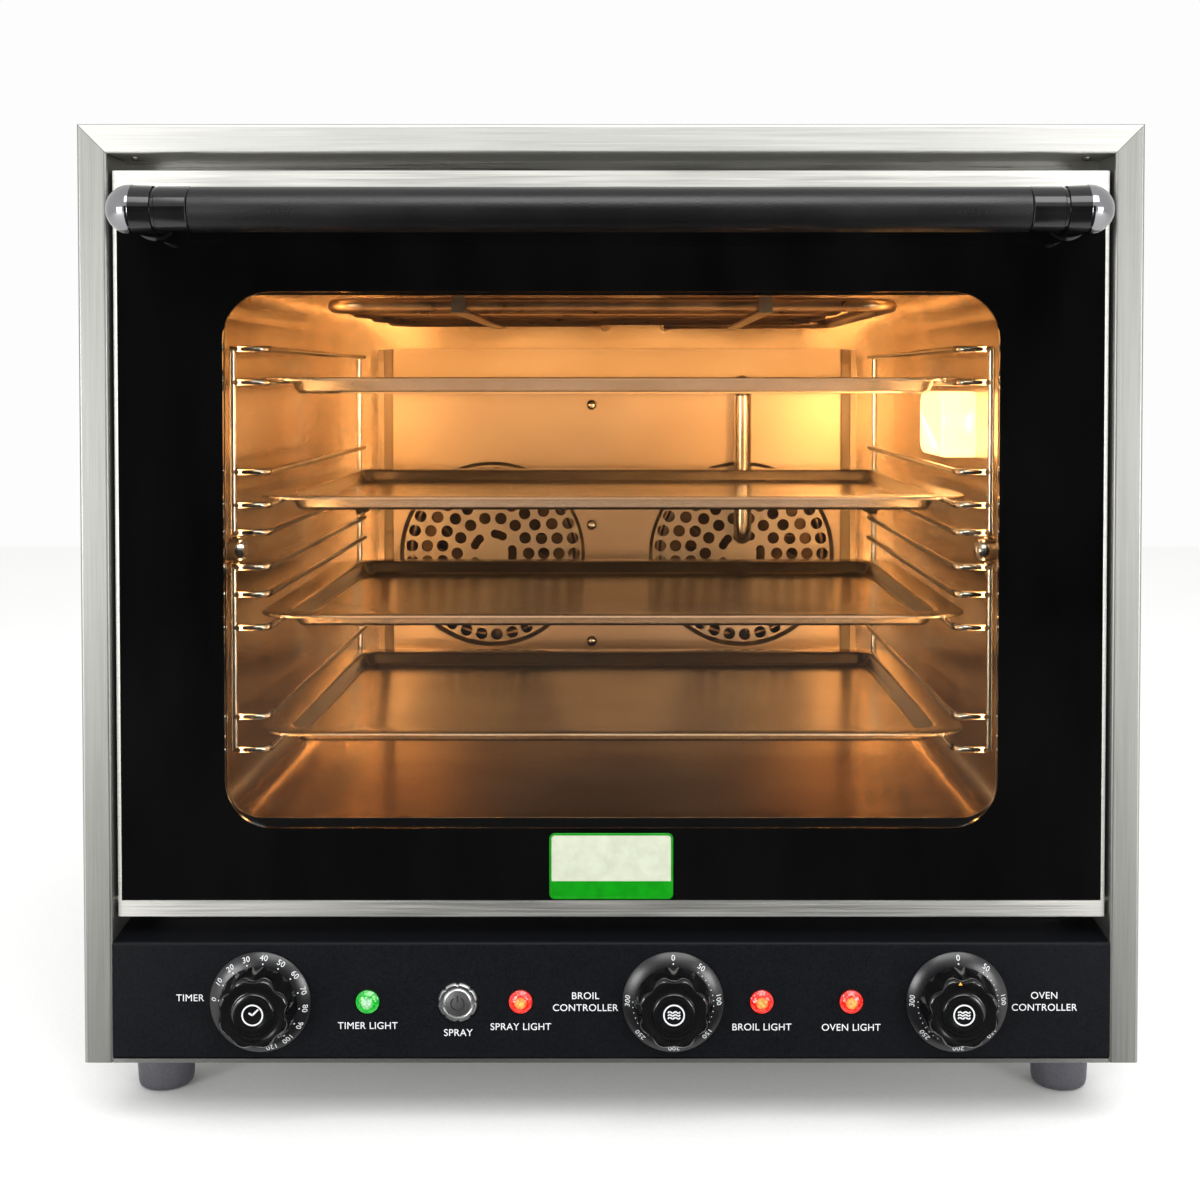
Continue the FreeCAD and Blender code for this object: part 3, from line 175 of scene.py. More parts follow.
def mitred(name, shaded_side_tones, lit_top_tones, rough):
    """Brushed bars that meet in a mitre: across on the top bar, upright on the side bars. The side bars take
    darker tones as painted shade, and the top bar lighter ones as painted light, as for light from above.
    """
    material = finish(name, Metallic=1.0)
    tree, shader = shader_of(material)
    place = add(tree, "SeparateXYZ", {0: add(tree, "TexCoord").outputs["Object"]})
    off_middle = add(tree, "Math", {0: place.outputs["X"]}, operation="ABSOLUTE").outputs[0]
    aside = add(tree, "Math", {0: half_width, 1: off_middle}, operation="SUBTRACT").outputs[0]
    below = add(tree, "Math", {0: top, 1: place.outputs["Z"]}, operation="SUBTRACT").outputs[0]
    on_top = add(tree, "Math", {0: below, 1: aside}, operation="LESS_THAN").outputs[0]
    seam = add(tree, "Math", {0: below, 1: aside, 2: MITRE_SEAM}, operation="COMPARE").outputs[0]
    across = grain(tree, SCRATCH, 3.0, (SCRATCH_LENGTH, 1, 1))
    upright = grain(tree, SCRATCH, 3.0, (1, 1, SCRATCH_LENGTH))
    lines = add(tree, "Mix", {0: on_top, 2: upright, 3: across}, data_type="FLOAT").outputs[0]
    # painted shade: the side bars are a darker copy of the steel, and the top bar is a lighter copy as
    # painted light
    sides = tint(tree, lines, *shaded_side_tones)
    bar = tint(tree, lines, *lit_top_tones)
    metal = add(tree, "Mix", {0: on_top, 6: sides, 7: bar}, data_type="RGBA").outputs[2]
    joint = add(tree, "Mix", {0: seam, 6: metal, 7: colour("#5c5c58")}, data_type="RGBA").outputs[2]
    tree.links.new(joint, shader.inputs["Base Color"])
    tree.links.new(spread(tree, lines, rough - 0.03, rough + 0.04), shader.inputs["Roughness"])
    relief(tree, shader, lines, SCRATCH_DEPTH)
    return material


# the darker side tones are painted shade, the lighter top tones painted light
bezel_steel = mitred("brushed_stainless_bezel", ("#898985", "#959591"), ("#bcbcb7", "#c7c7c2"), 0.42)
casing_steel = brushed("brushed_stainless_sheet", "#b6b6b3", "#a8a8a5", 0.36, "Y")
rail_steel = brushed("brushed_stainless_rail", "#dddcd6", "#cfcec8", 0.40, "X")
# The face frame's darker tone is painted shade: it stands in the shadowed gap between the door and the bezel.
shaded_face_steel = brushed("brushed_stainless_face_in_painted_shade", "#9b9a95", "#8f8e89", 0.32, "X")


# %% [markdown]
# ## Polished steel inside
# The liner and the fan baffle are bright annealed stainless, close to a mirror but rolled a little wavy,
# so reflections stretch and wobble. After a few bakes it takes a faint straw colour. A low, wide relief
# gives the wobble, and fine lines in the roughness stand for the rolling.

# %% Polished liner, fan steel, tray steel and wire
WAVE = 70 * MM               # width of one swell in the sheet
ROLLING_LINE = 1.2 * MM


def polished(name, base, warm, rough, wobble):
    """Near-mirror sheet with wavy reflections and a straw tint."""
    material = finish(name, Metallic=1.0, Base_Color=base)
    tree, shader = shader_of(material)
    cloud = grain(tree, WAVE, 0.5)
    fine = grain(tree, ROLLING_LINE, 2.0, (20, 1, 1))
    tree.links.new(tint(tree, cloud, warm, base), shader.inputs["Base Color"])
    tree.links.new(spread(tree, fine, rough - 0.015, rough + 0.02), shader.inputs["Roughness"])
    relief(tree, shader, cloud, wobble)
    return material


liner_steel = polished("bright_annealed_liner", "#dccaad", "#cdb795", 0.22, 0.7 * MM)
baffle_steel = polished("bright_annealed_baffle", "#d8c6aa", "#cbb595", 0.30, 0.4 * MM)
tray_steel = polished("polished_tray_steel", "#dedad2", "#d2cbbe", 0.23, 0.25 * MM)
guard_steel = polished("stamped_guard_steel", "#d3c8b4", "#c2b395", 0.34, 0.1 * MM)
# The fan wheels' dark tone is painted shade: they stand in shadow behind the guards, so the guards' holes
# read dark.
shaded_wheel_metal = polished("fan_wheels_in_painted_shade", "#6f5b42", "#5c4a34", 0.45, 0.1 * MM)
pipe_steel = polished("drawn_steel_tube", "#cfc8bb", "#b9b1a2", 0.18, 0.1 * MM)


def plated_wire():
    """Nickel-chrome plated wire: bright, with a little dulling where the plating is thin."""
    material = finish("chrome_plated_wire", Metallic=1.0, Base_Color="#e4e2dc")
    tree, shader = shader_of(material)
    cloud = grain(tree, 25 * MM, 3.0)
    tree.links.new(spread(tree, cloud, 0.08, 0.20), shader.inputs["Roughness"])
    tree.links.new(tint(tree, cloud, "#cfc9bd", "#eceae6"), shader.inputs["Base Color"])
    return material


def scorched_sheath():
    """Heater sheath of stainless tube, dark and mottled by heat."""
    material = finish("heat_tinted_sheath", Metallic=1.0, Base_Color="#b39a7c")
    tree, shader = shader_of(material)
    cloud = grain(tree, 18 * MM, 4.0)
    tree.links.new(tint(tree, cloud, "#9c8264", "#cdb08a"), shader.inputs["Base Color"])
    tree.links.new(spread(tree, cloud, 0.25, 0.42), shader.inputs["Roughness"])
    return material


def galvanised():
    """Zinc-dipped sheet: flat crystals, the spangle, about 8 mm across, each a little lighter or darker."""
    material = finish("galvanised_sheet", Metallic=1.0, Base_Color="#aeb2b3", Roughness=0.45)
    tree, shader = shader_of(material)
    place = add(tree, "TexCoord").outputs["Object"]
    crystals = add(tree, "TexVoronoi", {"Vector": place, "Scale": 1 / (8 * MM)})
    level = add(tree, "SeparateColor", {0: crystals.outputs["Color"]}).outputs[0]
    tree.links.new(tint(tree, level, "#a4a8aa", "#b2b6b7"), shader.inputs["Base Color"])
    tree.links.new(spread(tree, level, 0.40, 0.48), shader.inputs["Roughness"])
    return material


wire_chrome = plated_wire()
sheath = scorched_sheath()
zinc_sheet = galvanised()


# %% [markdown]
# ## Glass
# The door's front pane is 4 mm tempered soda-lime glass, IOR 1.52. A black ceramic frit is fired on its
# border, so the border is a deep gloss black and only the middle is clear. Glass is one shader with full
# transmission and no noise, because real glass has none; a trace of roughness stands for oven film.

# %% Glass, frit and lenses
def clear_glass(name, tone, rough=0.0):
    """Tempered pane with a coating that keeps reflections low."""
    return finish(name, Base_Color=tone, Roughness=rough, IOR=1.52, Transmission_Weight=1.0,
                  Specular_IOR_Level=0.12)


def black_frit():
    """Black enamel under glass: the glass gives the gloss, the enamel a very dark grey with faint dust."""
    material = finish("black_ceramic_frit", Base_Color="#050505", IOR=1.5, Specular_IOR_Level=0.15)
    tree, shader = shader_of(material)
    smear = grain(tree, 45 * MM, 4.0, (1, 1, 3))
    tree.links.new(spread(tree, smear, 0.03, 0.07), shader.inputs["Roughness"])
    tree.links.new(tint(tree, smear, "#030303", "#070707"), shader.inputs["Base Color"])
    return material


def lens(name, tone, glow, core, strength):
    """Polycarbonate lens with a neon lamp behind it: a pale core, a full colour round it, a dark rim."""
    material = finish(name, Base_Color=tone, Roughness=0.12, IOR=1.58, Coat_Weight=0.6)
    tree, shader = shader_of(material)
    place = add(tree, "TexCoord")
    facets = add(tree, "TexVoronoi", {"Vector": place.outputs["Object"], "Scale": 1 / (1.6 * MM)})
    spark = add(tree, "MapRange", {"Value": facets.outputs["Distance"], "From Min": 0.1, "From Max": 0.75,
                                   "To Min": 1.25 * strength, "To Max": 0.6 * strength})
    # the dome turns away from the front towards its rim, so its slope says how far out a point lies
    slope = add(tree, "SeparateXYZ", {0: place.outputs["Normal"]}).outputs["Y"]
    middle_share = add(tree, "MapRange", {"Value": slope, "From Min": -0.55, "From Max": -1.0})
    ramp = add(tree, "ValToRGB", {"Fac": middle_share.outputs[0]})
    stops = ramp.color_ramp.elements
    stops[0].color = colour(tone)
    stops[1].color = colour(core)
    for position in (0.45, 0.86):
        stops.new(position).color = colour(glow)
    tree.links.new(ramp.outputs[0], shader.inputs["Emission Color"])
    tree.links.new(spark.outputs[0], shader.inputs["Emission Strength"])
    relief(tree, shader, facets.outputs["Distance"], 0.3 * MM)
    return material


pane_glass = clear_glass("tempered_glass", "#f4f6f4")
inner_glass = clear_glass("tempered_inner_glass", "#f2efe8", 0.01)
frit = black_frit()
green_lens = lens("green_polycarbonate", "#03400c", "#10c830", "#d8ffdc", 1.0)
red_lens = lens("red_polycarbonate", "#5c0402", "#ff2408", "#ffd070", 1.1)
lamp_glass = finish("frosted_lamp_glass", Base_Color="#fff0d8", Roughness=0.25, IOR=1.5,
                    Transmission_Weight=0.6, Emission_Color="#ffd09a", Emission_Strength=1.3)
filament = finish("hot_halogen_capsule", Base_Color="#fff2dc", Roughness=0.2,
                  Emission_Color="#ffc98a", Emission_Strength=18.0)


# %% [markdown]
# ## Paint, plastic and rubber
# The control panel is powder coated black with a fine fleck. The handle's grip has a coarser, leathery
# wrinkle coat. The knobs are glossy moulded ABS, the feet satin rubber with a grey bloom.

# %% Paint, plastic, rubber and inks
def coated(name, dark, light, grit, depth, rough, **values):
    """Coat or moulding with a grit of a real size and depth."""
    material = finish(name, Base_Color=dark, **values)
    tree, shader = shader_of(material)
    bumps = grain(tree, grit, 2.0)
    cloud = grain(tree, 40 * MM, 2.0)
    tree.links.new(tint(tree, bumps, dark, light), shader.inputs["Base Color"])
    tree.links.new(spread(tree, cloud, rough - 0.04, rough + 0.05), shader.inputs["Roughness"])
    relief(tree, shader, bumps, depth)
    return material


panel_coat = coated("black_powder_coat", "#050608", "#101115", 0.8 * MM, 0.02 * MM, 0.45,
                    Specular_IOR_Level=0.1)
grip_coat = coated("black_wrinkle_coat", "#040405", "#0b0b0c", 1.1 * MM, 0.10 * MM, 0.34,
                   Specular_IOR_Level=0.4)
knob_abs = coated("gloss_black_abs", "#060607", "#0a0a0b", 2.0 * MM, 0.004 * MM, 0.14, Coat_Weight=0.3)
ring_abs = coated("satin_black_abs", "#0c0c0e", "#121215", 0.9 * MM, 0.01 * MM, 0.30)
foot_rubber = coated("grey_moulded_rubber", "#38373d", "#47464d", 1.0 * MM, 0.03 * MM, 0.55)
seal_rubber = coated("grey_silicone_seal", "#3a3a3b", "#4a4a4a", 1.5 * MM, 0.02 * MM, 0.6)
phenolic = coated("moulded_phenolic", "#141312", "#24211f", 0.7 * MM, 0.02 * MM, 0.5)
wool = coated("mineral_wool", "#a3926a", "#cdbf95", 1.8 * MM, 0.6 * MM, 0.95)
brass = coated("cast_brass", "#b08d4c", "#cfae68", 1.2 * MM, 0.03 * MM, 0.35, Metallic=1.0)
zinc = coated("zinc_plated_steel", "#9da0a3", "#b8bbbd", 0.9 * MM, 0.01 * MM, 0.38, Metallic=1.0)
black_abs = coated("gloss_black_moulding", "#070708", "#0c0c0d", 20 * MM, 0.02 * MM, 0.12)
dark_chrome = coated("dark_chrome_plate", "#8b8b8e", "#9c9c9f", 30 * MM, 0.02 * MM, 0.10, Metallic=1.0)
turned_steel = coated("turned_stainless", "#a9aaab", "#cfcfce", 0.5 * MM, 0.01 * MM, 0.28, Metallic=1.0)
white_ink = coated("white_screen_ink", "#b2b4b6", "#c6c8c9", 0.6 * MM, 0.005 * MM, 0.5)
orange_ink = coated("orange_screen_ink", "#e88a1e", "#f6a63a", 0.6 * MM, 0.005 * MM, 0.5)
cream_enamel = coated("cream_enamel", "#9ba08e", "#a5aa98", 6 * MM, 0.01 * MM, 0.25,
                      Specular_IOR_Level=0.2)
green_enamel = coated("green_enamel", "#026a04", "#04780a", 6 * MM, 0.01 * MM, 0.25,
                      Specular_IOR_Level=0.15)


# %% [markdown]
# ## Helpers for shapes
# Nearly every shape here is a skin over a row of closed loops: circles for a turned piece, rounded
# rectangles for a tray or a pane. One loft function joins the loops with quads, so the mesh stays clean.

# %% Loops and lofts
def circle(centre, radius, axis, count=64, shape=None):
    """Loop round an axis. shape gives a factor for the radius at each angle."""
    loop = []
    for i in range(count):
        angle = 2 * math.pi * i / count
        reach = radius * (shape(angle) if shape else 1.0)
        u, v = reach * math.cos(angle), reach * math.sin(angle)
        offset = {"X": (0, u, v), "Y": (u, 0, v), "Z": (u, v, 0)}[axis]
        loop.append(Vector(centre) + Vector(offset))
    return loop


def rounded(low, high, radius, place, steps=8):
    """Rounded rectangle between two corners of a plane; place turns a pair (u, v) into a point."""
    radius = max(radius, 0.01 * MM)
    loop = []
    corners = [(high[0] - radius, high[1] - radius, 0), (low[0] + radius, high[1] - radius, 90),
               (low[0] + radius, low[1] + radius, 180), (high[0] - radius, low[1] + radius, 270)]
    for u, v, start in corners:
        for i in range(steps + 1):
            angle = math.radians(start + 90 * i / steps)
            loop.append(place(u + radius * math.cos(angle), v + radius * math.sin(angle)))
    return loop


def smooth(piece, angle=35):
    """Smooth shading with sharp edges kept."""
    mesh = piece.data
    mesh.polygons.foreach_set("use_smooth", [True] * len(mesh.polygons))
    mesh.set_sharp_from_angle(angle=math.radians(angle))
    return piece


def new_piece(name, mesh):
    """Object for a mesh."""
    piece = bpy.data.objects.new(name, mesh)
    bpy.context.scene.collection.objects.link(piece)
    return piece


def loft(name, loops, wrap=False, angle=35):
    """Skin over loops with equally many points: closed at both ends, or back to the first loop."""
    count = len(loops[0])
    mesh = bpy.data.meshes.new(name)
    skin = bmesh.new()
    rows = [[skin.verts.new(point) for point in loop] for loop in loops]
    spans = list(zip(rows, rows[1:])) + ([(rows[-1], rows[0])] if wrap else [])
    for near, far in spans:
        for i in range(count):
            j = (i + 1) % count
            skin.faces.new((near[i], near[j], far[j], far[i]))
    if not wrap:
        skin.faces.new(rows[0])
        skin.faces.new(rows[-1])
    bmesh.ops.recalc_face_normals(skin, faces=skin.faces)
    skin.to_mesh(mesh)
    skin.free()
    return smooth(new_piece(name, mesh), angle)


def join(name, pieces, angle=35):
    """One object out of several."""
    mesh = bpy.data.meshes.new(name)
    skin = bmesh.new()
    for piece in pieces:
        copy = piece.data.copy()
        copy.transform(piece.matrix_world)
        skin.from_mesh(copy)
        bpy.data.meshes.remove(copy)
        bpy.data.objects.remove(piece)
    skin.to_mesh(mesh)
    skin.free()
    return smooth(new_piece(name, mesh), angle)


def dress(piece, material, body, slot, *nodes):
    """Gives a new piece its material and its body, and hides the nodes that it stands for. The slot argument
    is not used.
    """
    piece.data.materials.clear()
    piece.data.materials.append(material)
    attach(piece, body)
    if nodes:
        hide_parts(*nodes)
    return piece


def turned(name, centre, profile, count=64, shape=None, angle=35):
    """Turned piece about a front-to-back axis; profile holds pairs (radius, y) in millimetres from centre."""
    loops = [circle(Vector(centre) + Vector((0, y * MM, 0)), radius * MM, "Y", count, shape)
             for radius, y in profile]
    return loft(name, loops, angle=angle)


def lettering(text, height, centre, turn=0.0, tilt=0.0, raised=0.06):
    """Letters of a cap height in millimetres that face the front, turned clockwise by an angle in degrees."""
    curve = bpy.data.curves.new("letters", "FONT")
    curve.body = text
    curve.size = height * MM / 0.7
    curve.align_x = "CENTER"
    curve.align_y = "CENTER"
    curve.extrude = raised * MM
    curve.space_character = 1.05
    letters = bpy.data.objects.new("letters", curve)
    bpy.context.scene.collection.objects.link(letters)
    bpy.context.view_layer.update()
    mesh = bpy.data.meshes.new_from_object(letters.evaluated_get(bpy.context.evaluated_depsgraph_get()))
    bpy.data.objects.remove(letters)
    mesh.transform(Matrix.Rotation(math.radians(90), 4, "X"))
    mesh.transform(Matrix.Rotation(math.radians(tilt), 4, "X"))
    mesh.transform(Matrix.Rotation(math.radians(turn), 4, "Y"))
    mesh.transform(Matrix.Translation(centre))
    return new_piece("letters", mesh)


# %% [markdown]
# ## Finishes for the pieces that keep their shape
# Sheet metal, wires, tubes and fasteners already have the right shape, so they only take a finish. They
# could be modelled again, but the mechanical solids are exact, so a table of finishes is all they need.

# %% Finish the carried-over pieces
KEPT = {
    casing_steel: ["outer_casing", "base_plate"],
    bezel_steel: ["front_bezel"],
    rail_steel: ["door_rails", "door_frame"],
    shaded_face_steel: ["face_frame"],
    liner_steel: ["oven_liner"],
    baffle_steel: ["fan_baffle", "broil_straps"],
    guard_steel: ["fan_guard_left", "fan_guard_right"],
    shaded_wheel_metal: ["fan_wheel_left", "fan_wheel_right"],
    zinc_sheet: ["back_cover", "lamp_holder"],
    wire_chrome: ["rack_left", "rack_right", "rack_studs", "screws", "hinge_pins"],
    sheath: ["broil_element", "ring_elements"],
    pipe_steel: ["steam_pipe"],
    seal_rubber: ["door_gasket"],
    panel_coat: ["control_panel"],
    inner_glass: ["door_inner_glass"],
    lamp_glass: ["lamp_cover"],
    filament: ["lamp_bulb"],
    phenolic: ["timer_unit", "thermostats", "spray_switch", "terminal_block", "cable_gland"],
    wool: ["insulation_blanket"],
    brass: ["water_valve"],
    zinc: ["hinge_arms", "fan_motors", "fan_shaft_left", "fan_shaft_right",
           "timer_spindle", "broil_spindle", "oven_spindle"],
}
for material, names in KEPT.items():
    for name in names:
        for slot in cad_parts[name].material_slots:
            slot.material = material
print("kept shapes:", sum(len(names) for names in KEPT.values()))


# %% [markdown]
# ## The door's front pane
# One sheet of glass looks like two things: a black border and a clear window with rounded corners. They
# are built as a closed ring and a pane that fits its hole, so each has one honest finish.

# %% Front pane
WINDOW_SIDE = 218.5 * MM
WINDOW_LOW = 173.7 * MM
WINDOW_HIGH = 477.0 * MM
WINDOW_CORNER = 27.0 * MM
PANE_BEVEL = 0.5 * MM
PANE_CORNER = 1.0 * MM
WINDOW_CLEARANCE = 0.15 * MM
pane_low, pane_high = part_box("door_outer_glass")


def pane_loop(depth, inset, window=False):
    """Outline of the pane or of its window at a depth."""
    if window:
        low, high, radius = (-WINDOW_SIDE, WINDOW_LOW), (WINDOW_SIDE, WINDOW_HIGH), WINDOW_CORNER
    else:
        low, high, radius = (pane_low.x, pane_low.z), (pane_high.x, pane_high.z), PANE_CORNER
    low = (low[0] + inset, low[1] + inset)
    high = (high[0] - inset, high[1] - inset)
    return rounded(low, high, radius - inset, lambda x, z: Vector((x, depth, z)), 10)


front, back = pane_low.y, pane_high.y
outside = [pane_loop(front, PANE_BEVEL), pane_loop(front + PANE_BEVEL, 0), pane_loop(back, 0)]
hole = [pane_loop(back, 0, True), pane_loop(front, 0, True)]
border = loft("glass_border", outside + hole, wrap=True)
dress(border, frit, "door", "black_glass", "door_outer_glass")
window = loft("glass_window", [pane_loop(depth, WINDOW_CLEARANCE, True) for depth in (front, back)])
dress(window, pane_glass, "door", "clear_glass")
print("window", round(2 * WINDOW_SIDE / MM), "by", round((WINDOW_HIGH - WINDOW_LOW) / MM), "mm")


# %% [markdown]
# ## The door handle
# The grip is a 24 mm tube with a wrinkle coat. Each end has a gloss black sleeve and an elbow that turns
# back to the door, and a chrome-plated dome closes it. Sleeve, arm and dome are lofts over circles whose
# radii are listed from the grip outwards, because a row of numbers is easier to change than a sculpted mesh.

# %% Handle
grip_low, grip_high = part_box("handle_tube")
end_low, end_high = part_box("handle_ends")
grip_radius = (grip_high.z - grip_low.z) / 2
grip_axis = (grip_low + grip_high) / 2
ball_radius = (end_high.z - end_low.z) / 2
ball_x = end_high.x - ball_radius
GRIP_EDGE = 0.5 * MM
GRIP_INSET = 0.8 * MM
grip_rows = [(grip_low.x, GRIP_INSET), (grip_low.x + GRIP_EDGE, 0.0),
             (grip_high.x - GRIP_EDGE, 0.0), (grip_high.x, GRIP_INSET)]
grip_loops = [circle((x, grip_axis.y, grip_axis.z), grip_radius - inset, "X", 96) for x, inset in grip_rows]
dress(loft("handle_grip", grip_loops), grip_coat, "door", "black_handle", "handle_tube")


ARM_GAP = 0.3 * MM           # between the arm's foot and the glass
DOME_STEPS = 14
DOME_SWEEP = 90 * 0.985      # degrees: the dome stops just short of its pole


def handle_end(side):
    """Black sleeve and elbow of one end, and the plated dome that closes it."""
    def across(x, radius):
        return circle((side * x, grip_axis.y, grip_axis.z), radius, "X", 64)
    sleeve_rows = [(0.0, -0.4), (0.6, 0.2), (17.0, 0.2), (17.6, -0.6), (19.0, -0.6)]
    sleeve = [across(grip_high.x + x * MM, grip_radius + more * MM) for x, more in sleeve_rows]
    sleeve.append(across(grip_high.x + 19.4 * MM, ball_radius - 0.7 * MM))
    sleeve.append(across(ball_x, ball_radius - 0.3 * MM))

    def along(y, radius):
        return circle((side * ball_x, y, grip_axis.z), radius, "Y", 64)
    arm_end = pane_low.y - ARM_GAP
    arm = [along(grip_axis.y, ball_radius - 1.6 * MM), along(arm_end - 3.0 * MM, ball_radius - 1.6 * MM),
           along(arm_end - 2.4 * MM, ball_radius - 0.4 * MM), along(arm_end, ball_radius - 0.4 * MM)]
    dome = [across(ball_x - 1.5 * MM, ball_radius - 0.2 * MM), across(ball_x - 1.2 * MM, ball_radius)]
    for i in range(DOME_STEPS + 1):
        angle = math.radians(DOME_SWEEP * i / DOME_STEPS)
        dome.append(across(ball_x + ball_radius * math.sin(angle), ball_radius * math.cos(angle)))
    word = "right" if side > 0 else "left"
    elbow = join(f"handle_elbow_{word}", [loft("sleeve", sleeve), loft("arm", arm)])
    return elbow, loft(f"handle_dome_{word}", dome)


for side, cad in ((1, ["handle_ends"]), (-1, [])):
    elbow, dome = handle_end(side)
    dress(elbow, black_abs, "door", "dark_chrome", *cad)
    dress(dome, dark_chrome, "door", "dark_chrome")


# %% [markdown]
# ## Dials
# A dial is a fixed cone-shaped ring with a white scale, and a knob that turns in front of it. The knob's
# grip has eight shallow scoops, a dished ring and a raised middle with a small white sign. Scoops could be
# cut with a boolean, but a cosine in the radius gives them with clean quads. Rows of numbers are in
# millimetres: a radius, how far the row stands in front of the panel (negative y), and the scoops' depth.

# %% Dials
KNOB_SCOOPS = 8
ring_low, ring_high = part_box("dial_rings")
panel_face = ring_high.y
dial_z = (ring_low.z + ring_high.z) / 2
RING_OUTER = 28.5
RING_INNER = 19.8
RING_RIM = 1.6               # how far the skirt stands out at its rim, and at its crest
RING_CREST = 5.0
SLOPE_START = RING_INNER + 1.0
SLOPE_END = RING_OUTER - 0.5
RING_SLOPE = (RING_CREST - RING_RIM) / (SLOPE_END - SLOPE_START)
KNOB_FACE = 20.2             # from the panel to the knob's raised middle
NUMBER_RADIUS = 25.6
NUMBER_HEIGHT = 3.1
DOT_RADIUS = 22.6


def scoops(depth):
    """Radius factor of a scalloped grip."""
    return lambda angle: 1 - depth * (0.5 + 0.5 * math.cos(KNOB_SCOOPS * angle)) ** 1.6


def knob_shape(x):
    """Grip, dished face and raised middle."""
    stem = [(12.0, -0.6, 0), (18.9, -0.6, 0), (18.9, -5.6, 0)]
    grip = [(21.5, -6.0, 0), (22.0, -6.6, 0), (21.8, -8.0, 0.03), (21.0, -13.0, 0.09), (20.4, -17.0, 0.10),
            (19.6, -18.8, 0.09), (18.6, -19.6, 0.07), (17.0, -19.6, 0.04)]
    dish = [(14.8, -19.1, 0), (12.4, -18.6, 0), (11.9, -18.8, 0)]
    raised = [(11.5, -19.8, 0), (10.9, -KNOB_FACE, 0), (7.5, -KNOB_FACE, 0), (7.0, -20.0, 0), (0.4, -20.0, 0)]
    loops = [circle((x, panel_face + y * MM, dial_z), radius * MM, "Y", 192, scoops(depth))
             for radius, y, depth in stem + grip + dish + raised]
    return loft("knob", loops, angle=40)


def ring_shape(x):
    """Cone-shaped skirt."""
    rows = [(RING_INNER, 0.0), (RING_INNER, -4.6), (RING_INNER + 0.5, -RING_CREST),
            (SLOPE_START, -RING_CREST), (SLOPE_END, -RING_RIM), (RING_OUTER, -1.1), (RING_OUTER, 0.0)]
    loops = [circle((x, panel_face + y * MM, dial_z), radius * MM, "Y", 96) for radius, y in rows]
    return loft("ring", loops, wrap=True)


def on_ring(x, angle, radius):
    """Point on the skirt at a clockwise angle from the top."""
    rise = RING_RIM + RING_SLOPE * (SLOPE_END - radius)
    turn = math.radians(angle)
    reach = radius * MM
    return Vector((x + reach * math.sin(turn), panel_face - rise * MM, dial_z + reach * math.cos(turn)))


def mark(x, angle, text, height, radius):
    """Number or dot printed on the skirt, its top pointing outwards."""
    return lettering(text, height, on_ring(x, angle, radius), angle, -math.degrees(math.atan(RING_SLOPE)))


def timer_scale(x):
    """Minutes from 0 to 120, clockwise from the left, each with its dot."""
    start, pitch = -85, 22.7
    marks = []
    for i, value in enumerate([0, 10, 20, 30, 40, 50, 60, 70, 80, 90, 100, 120]):
        marks.append(mark(x, start + pitch * i, str(value), NUMBER_HEIGHT, NUMBER_RADIUS))
        marks.append(mark(x, start + pitch * i, "•", 2.4, DOT_RADIUS))
    return marks


def heat_scale(x):
    """Degrees, with a row of dots between the numbers."""
    start, pitch, dots = 38, 47, 6
    degrees = [50, 100, 150, 200, 250, 300]
    marks = [mark(x, 0, "0", NUMBER_HEIGHT, NUMBER_RADIUS), mark(x, 0, "•", 2.4, DOT_RADIUS)]
    for i, value in enumerate(degrees):
        marks.append(mark(x, start + pitch * i, str(value), 3.0, NUMBER_RADIUS))
    for i in range((len(degrees) - 1) * dots + 1):
        marks.append(mark(x, start + pitch * i / dots, "•", 1.7, DOT_RADIUS))
    return marks


INK_RISE = 0.12


def sign(x, kind):
    """White sign on the knob's middle: a clock's two hands, or three lines of heat."""
    centre = Vector((x, panel_face - KNOB_FACE * MM, dial_z))
    ring = [circle(centre + Vector((0, y * MM, 0)), radius * MM, "Y", 48)
            for radius, y in ((6.0, 0.0), (6.0, -INK_RISE), (5.2, -INK_RISE), (5.2, 0.0))]
    parts = [loft("ring", ring, wrap=True)]

    def bar(x0, z0, x1, z1, width):
        """Straight stroke between two points of the sign."""
        way = Vector((x1 - x0, 0, z1 - z0)).normalized()
        aside = Vector((-way.z, 0, way.x)) * width / 2
        ends = [Vector((x0, 0, z0)), Vector((x1, 0, z1))]
        corners = [ends[0] - aside, ends[1] - aside, ends[1] + aside, ends[0] + aside]
        return loft("bar", [[centre + (corner + Vector((0, y, 0))) * MM for corner in corners]
                            for y in (0.1, -INK_RISE)])

    if kind == "clock":
        parts += [bar(0, 0, 3.2, 3.2, 0.9), bar(0, 0, -2.0, 1.2, 0.9)]
    else:
        for level in (-1.6, 0.0, 1.6):
            for i in range(8):
                u = [-3.4 + 0.85 * (i + k) for k in (0, 1)]
                v = [level + 0.5 * math.sin(2 * a) for a in u]
                parts.append(bar(u[0], v[0], u[1], v[1], 0.7))
    return join("sign", parts)


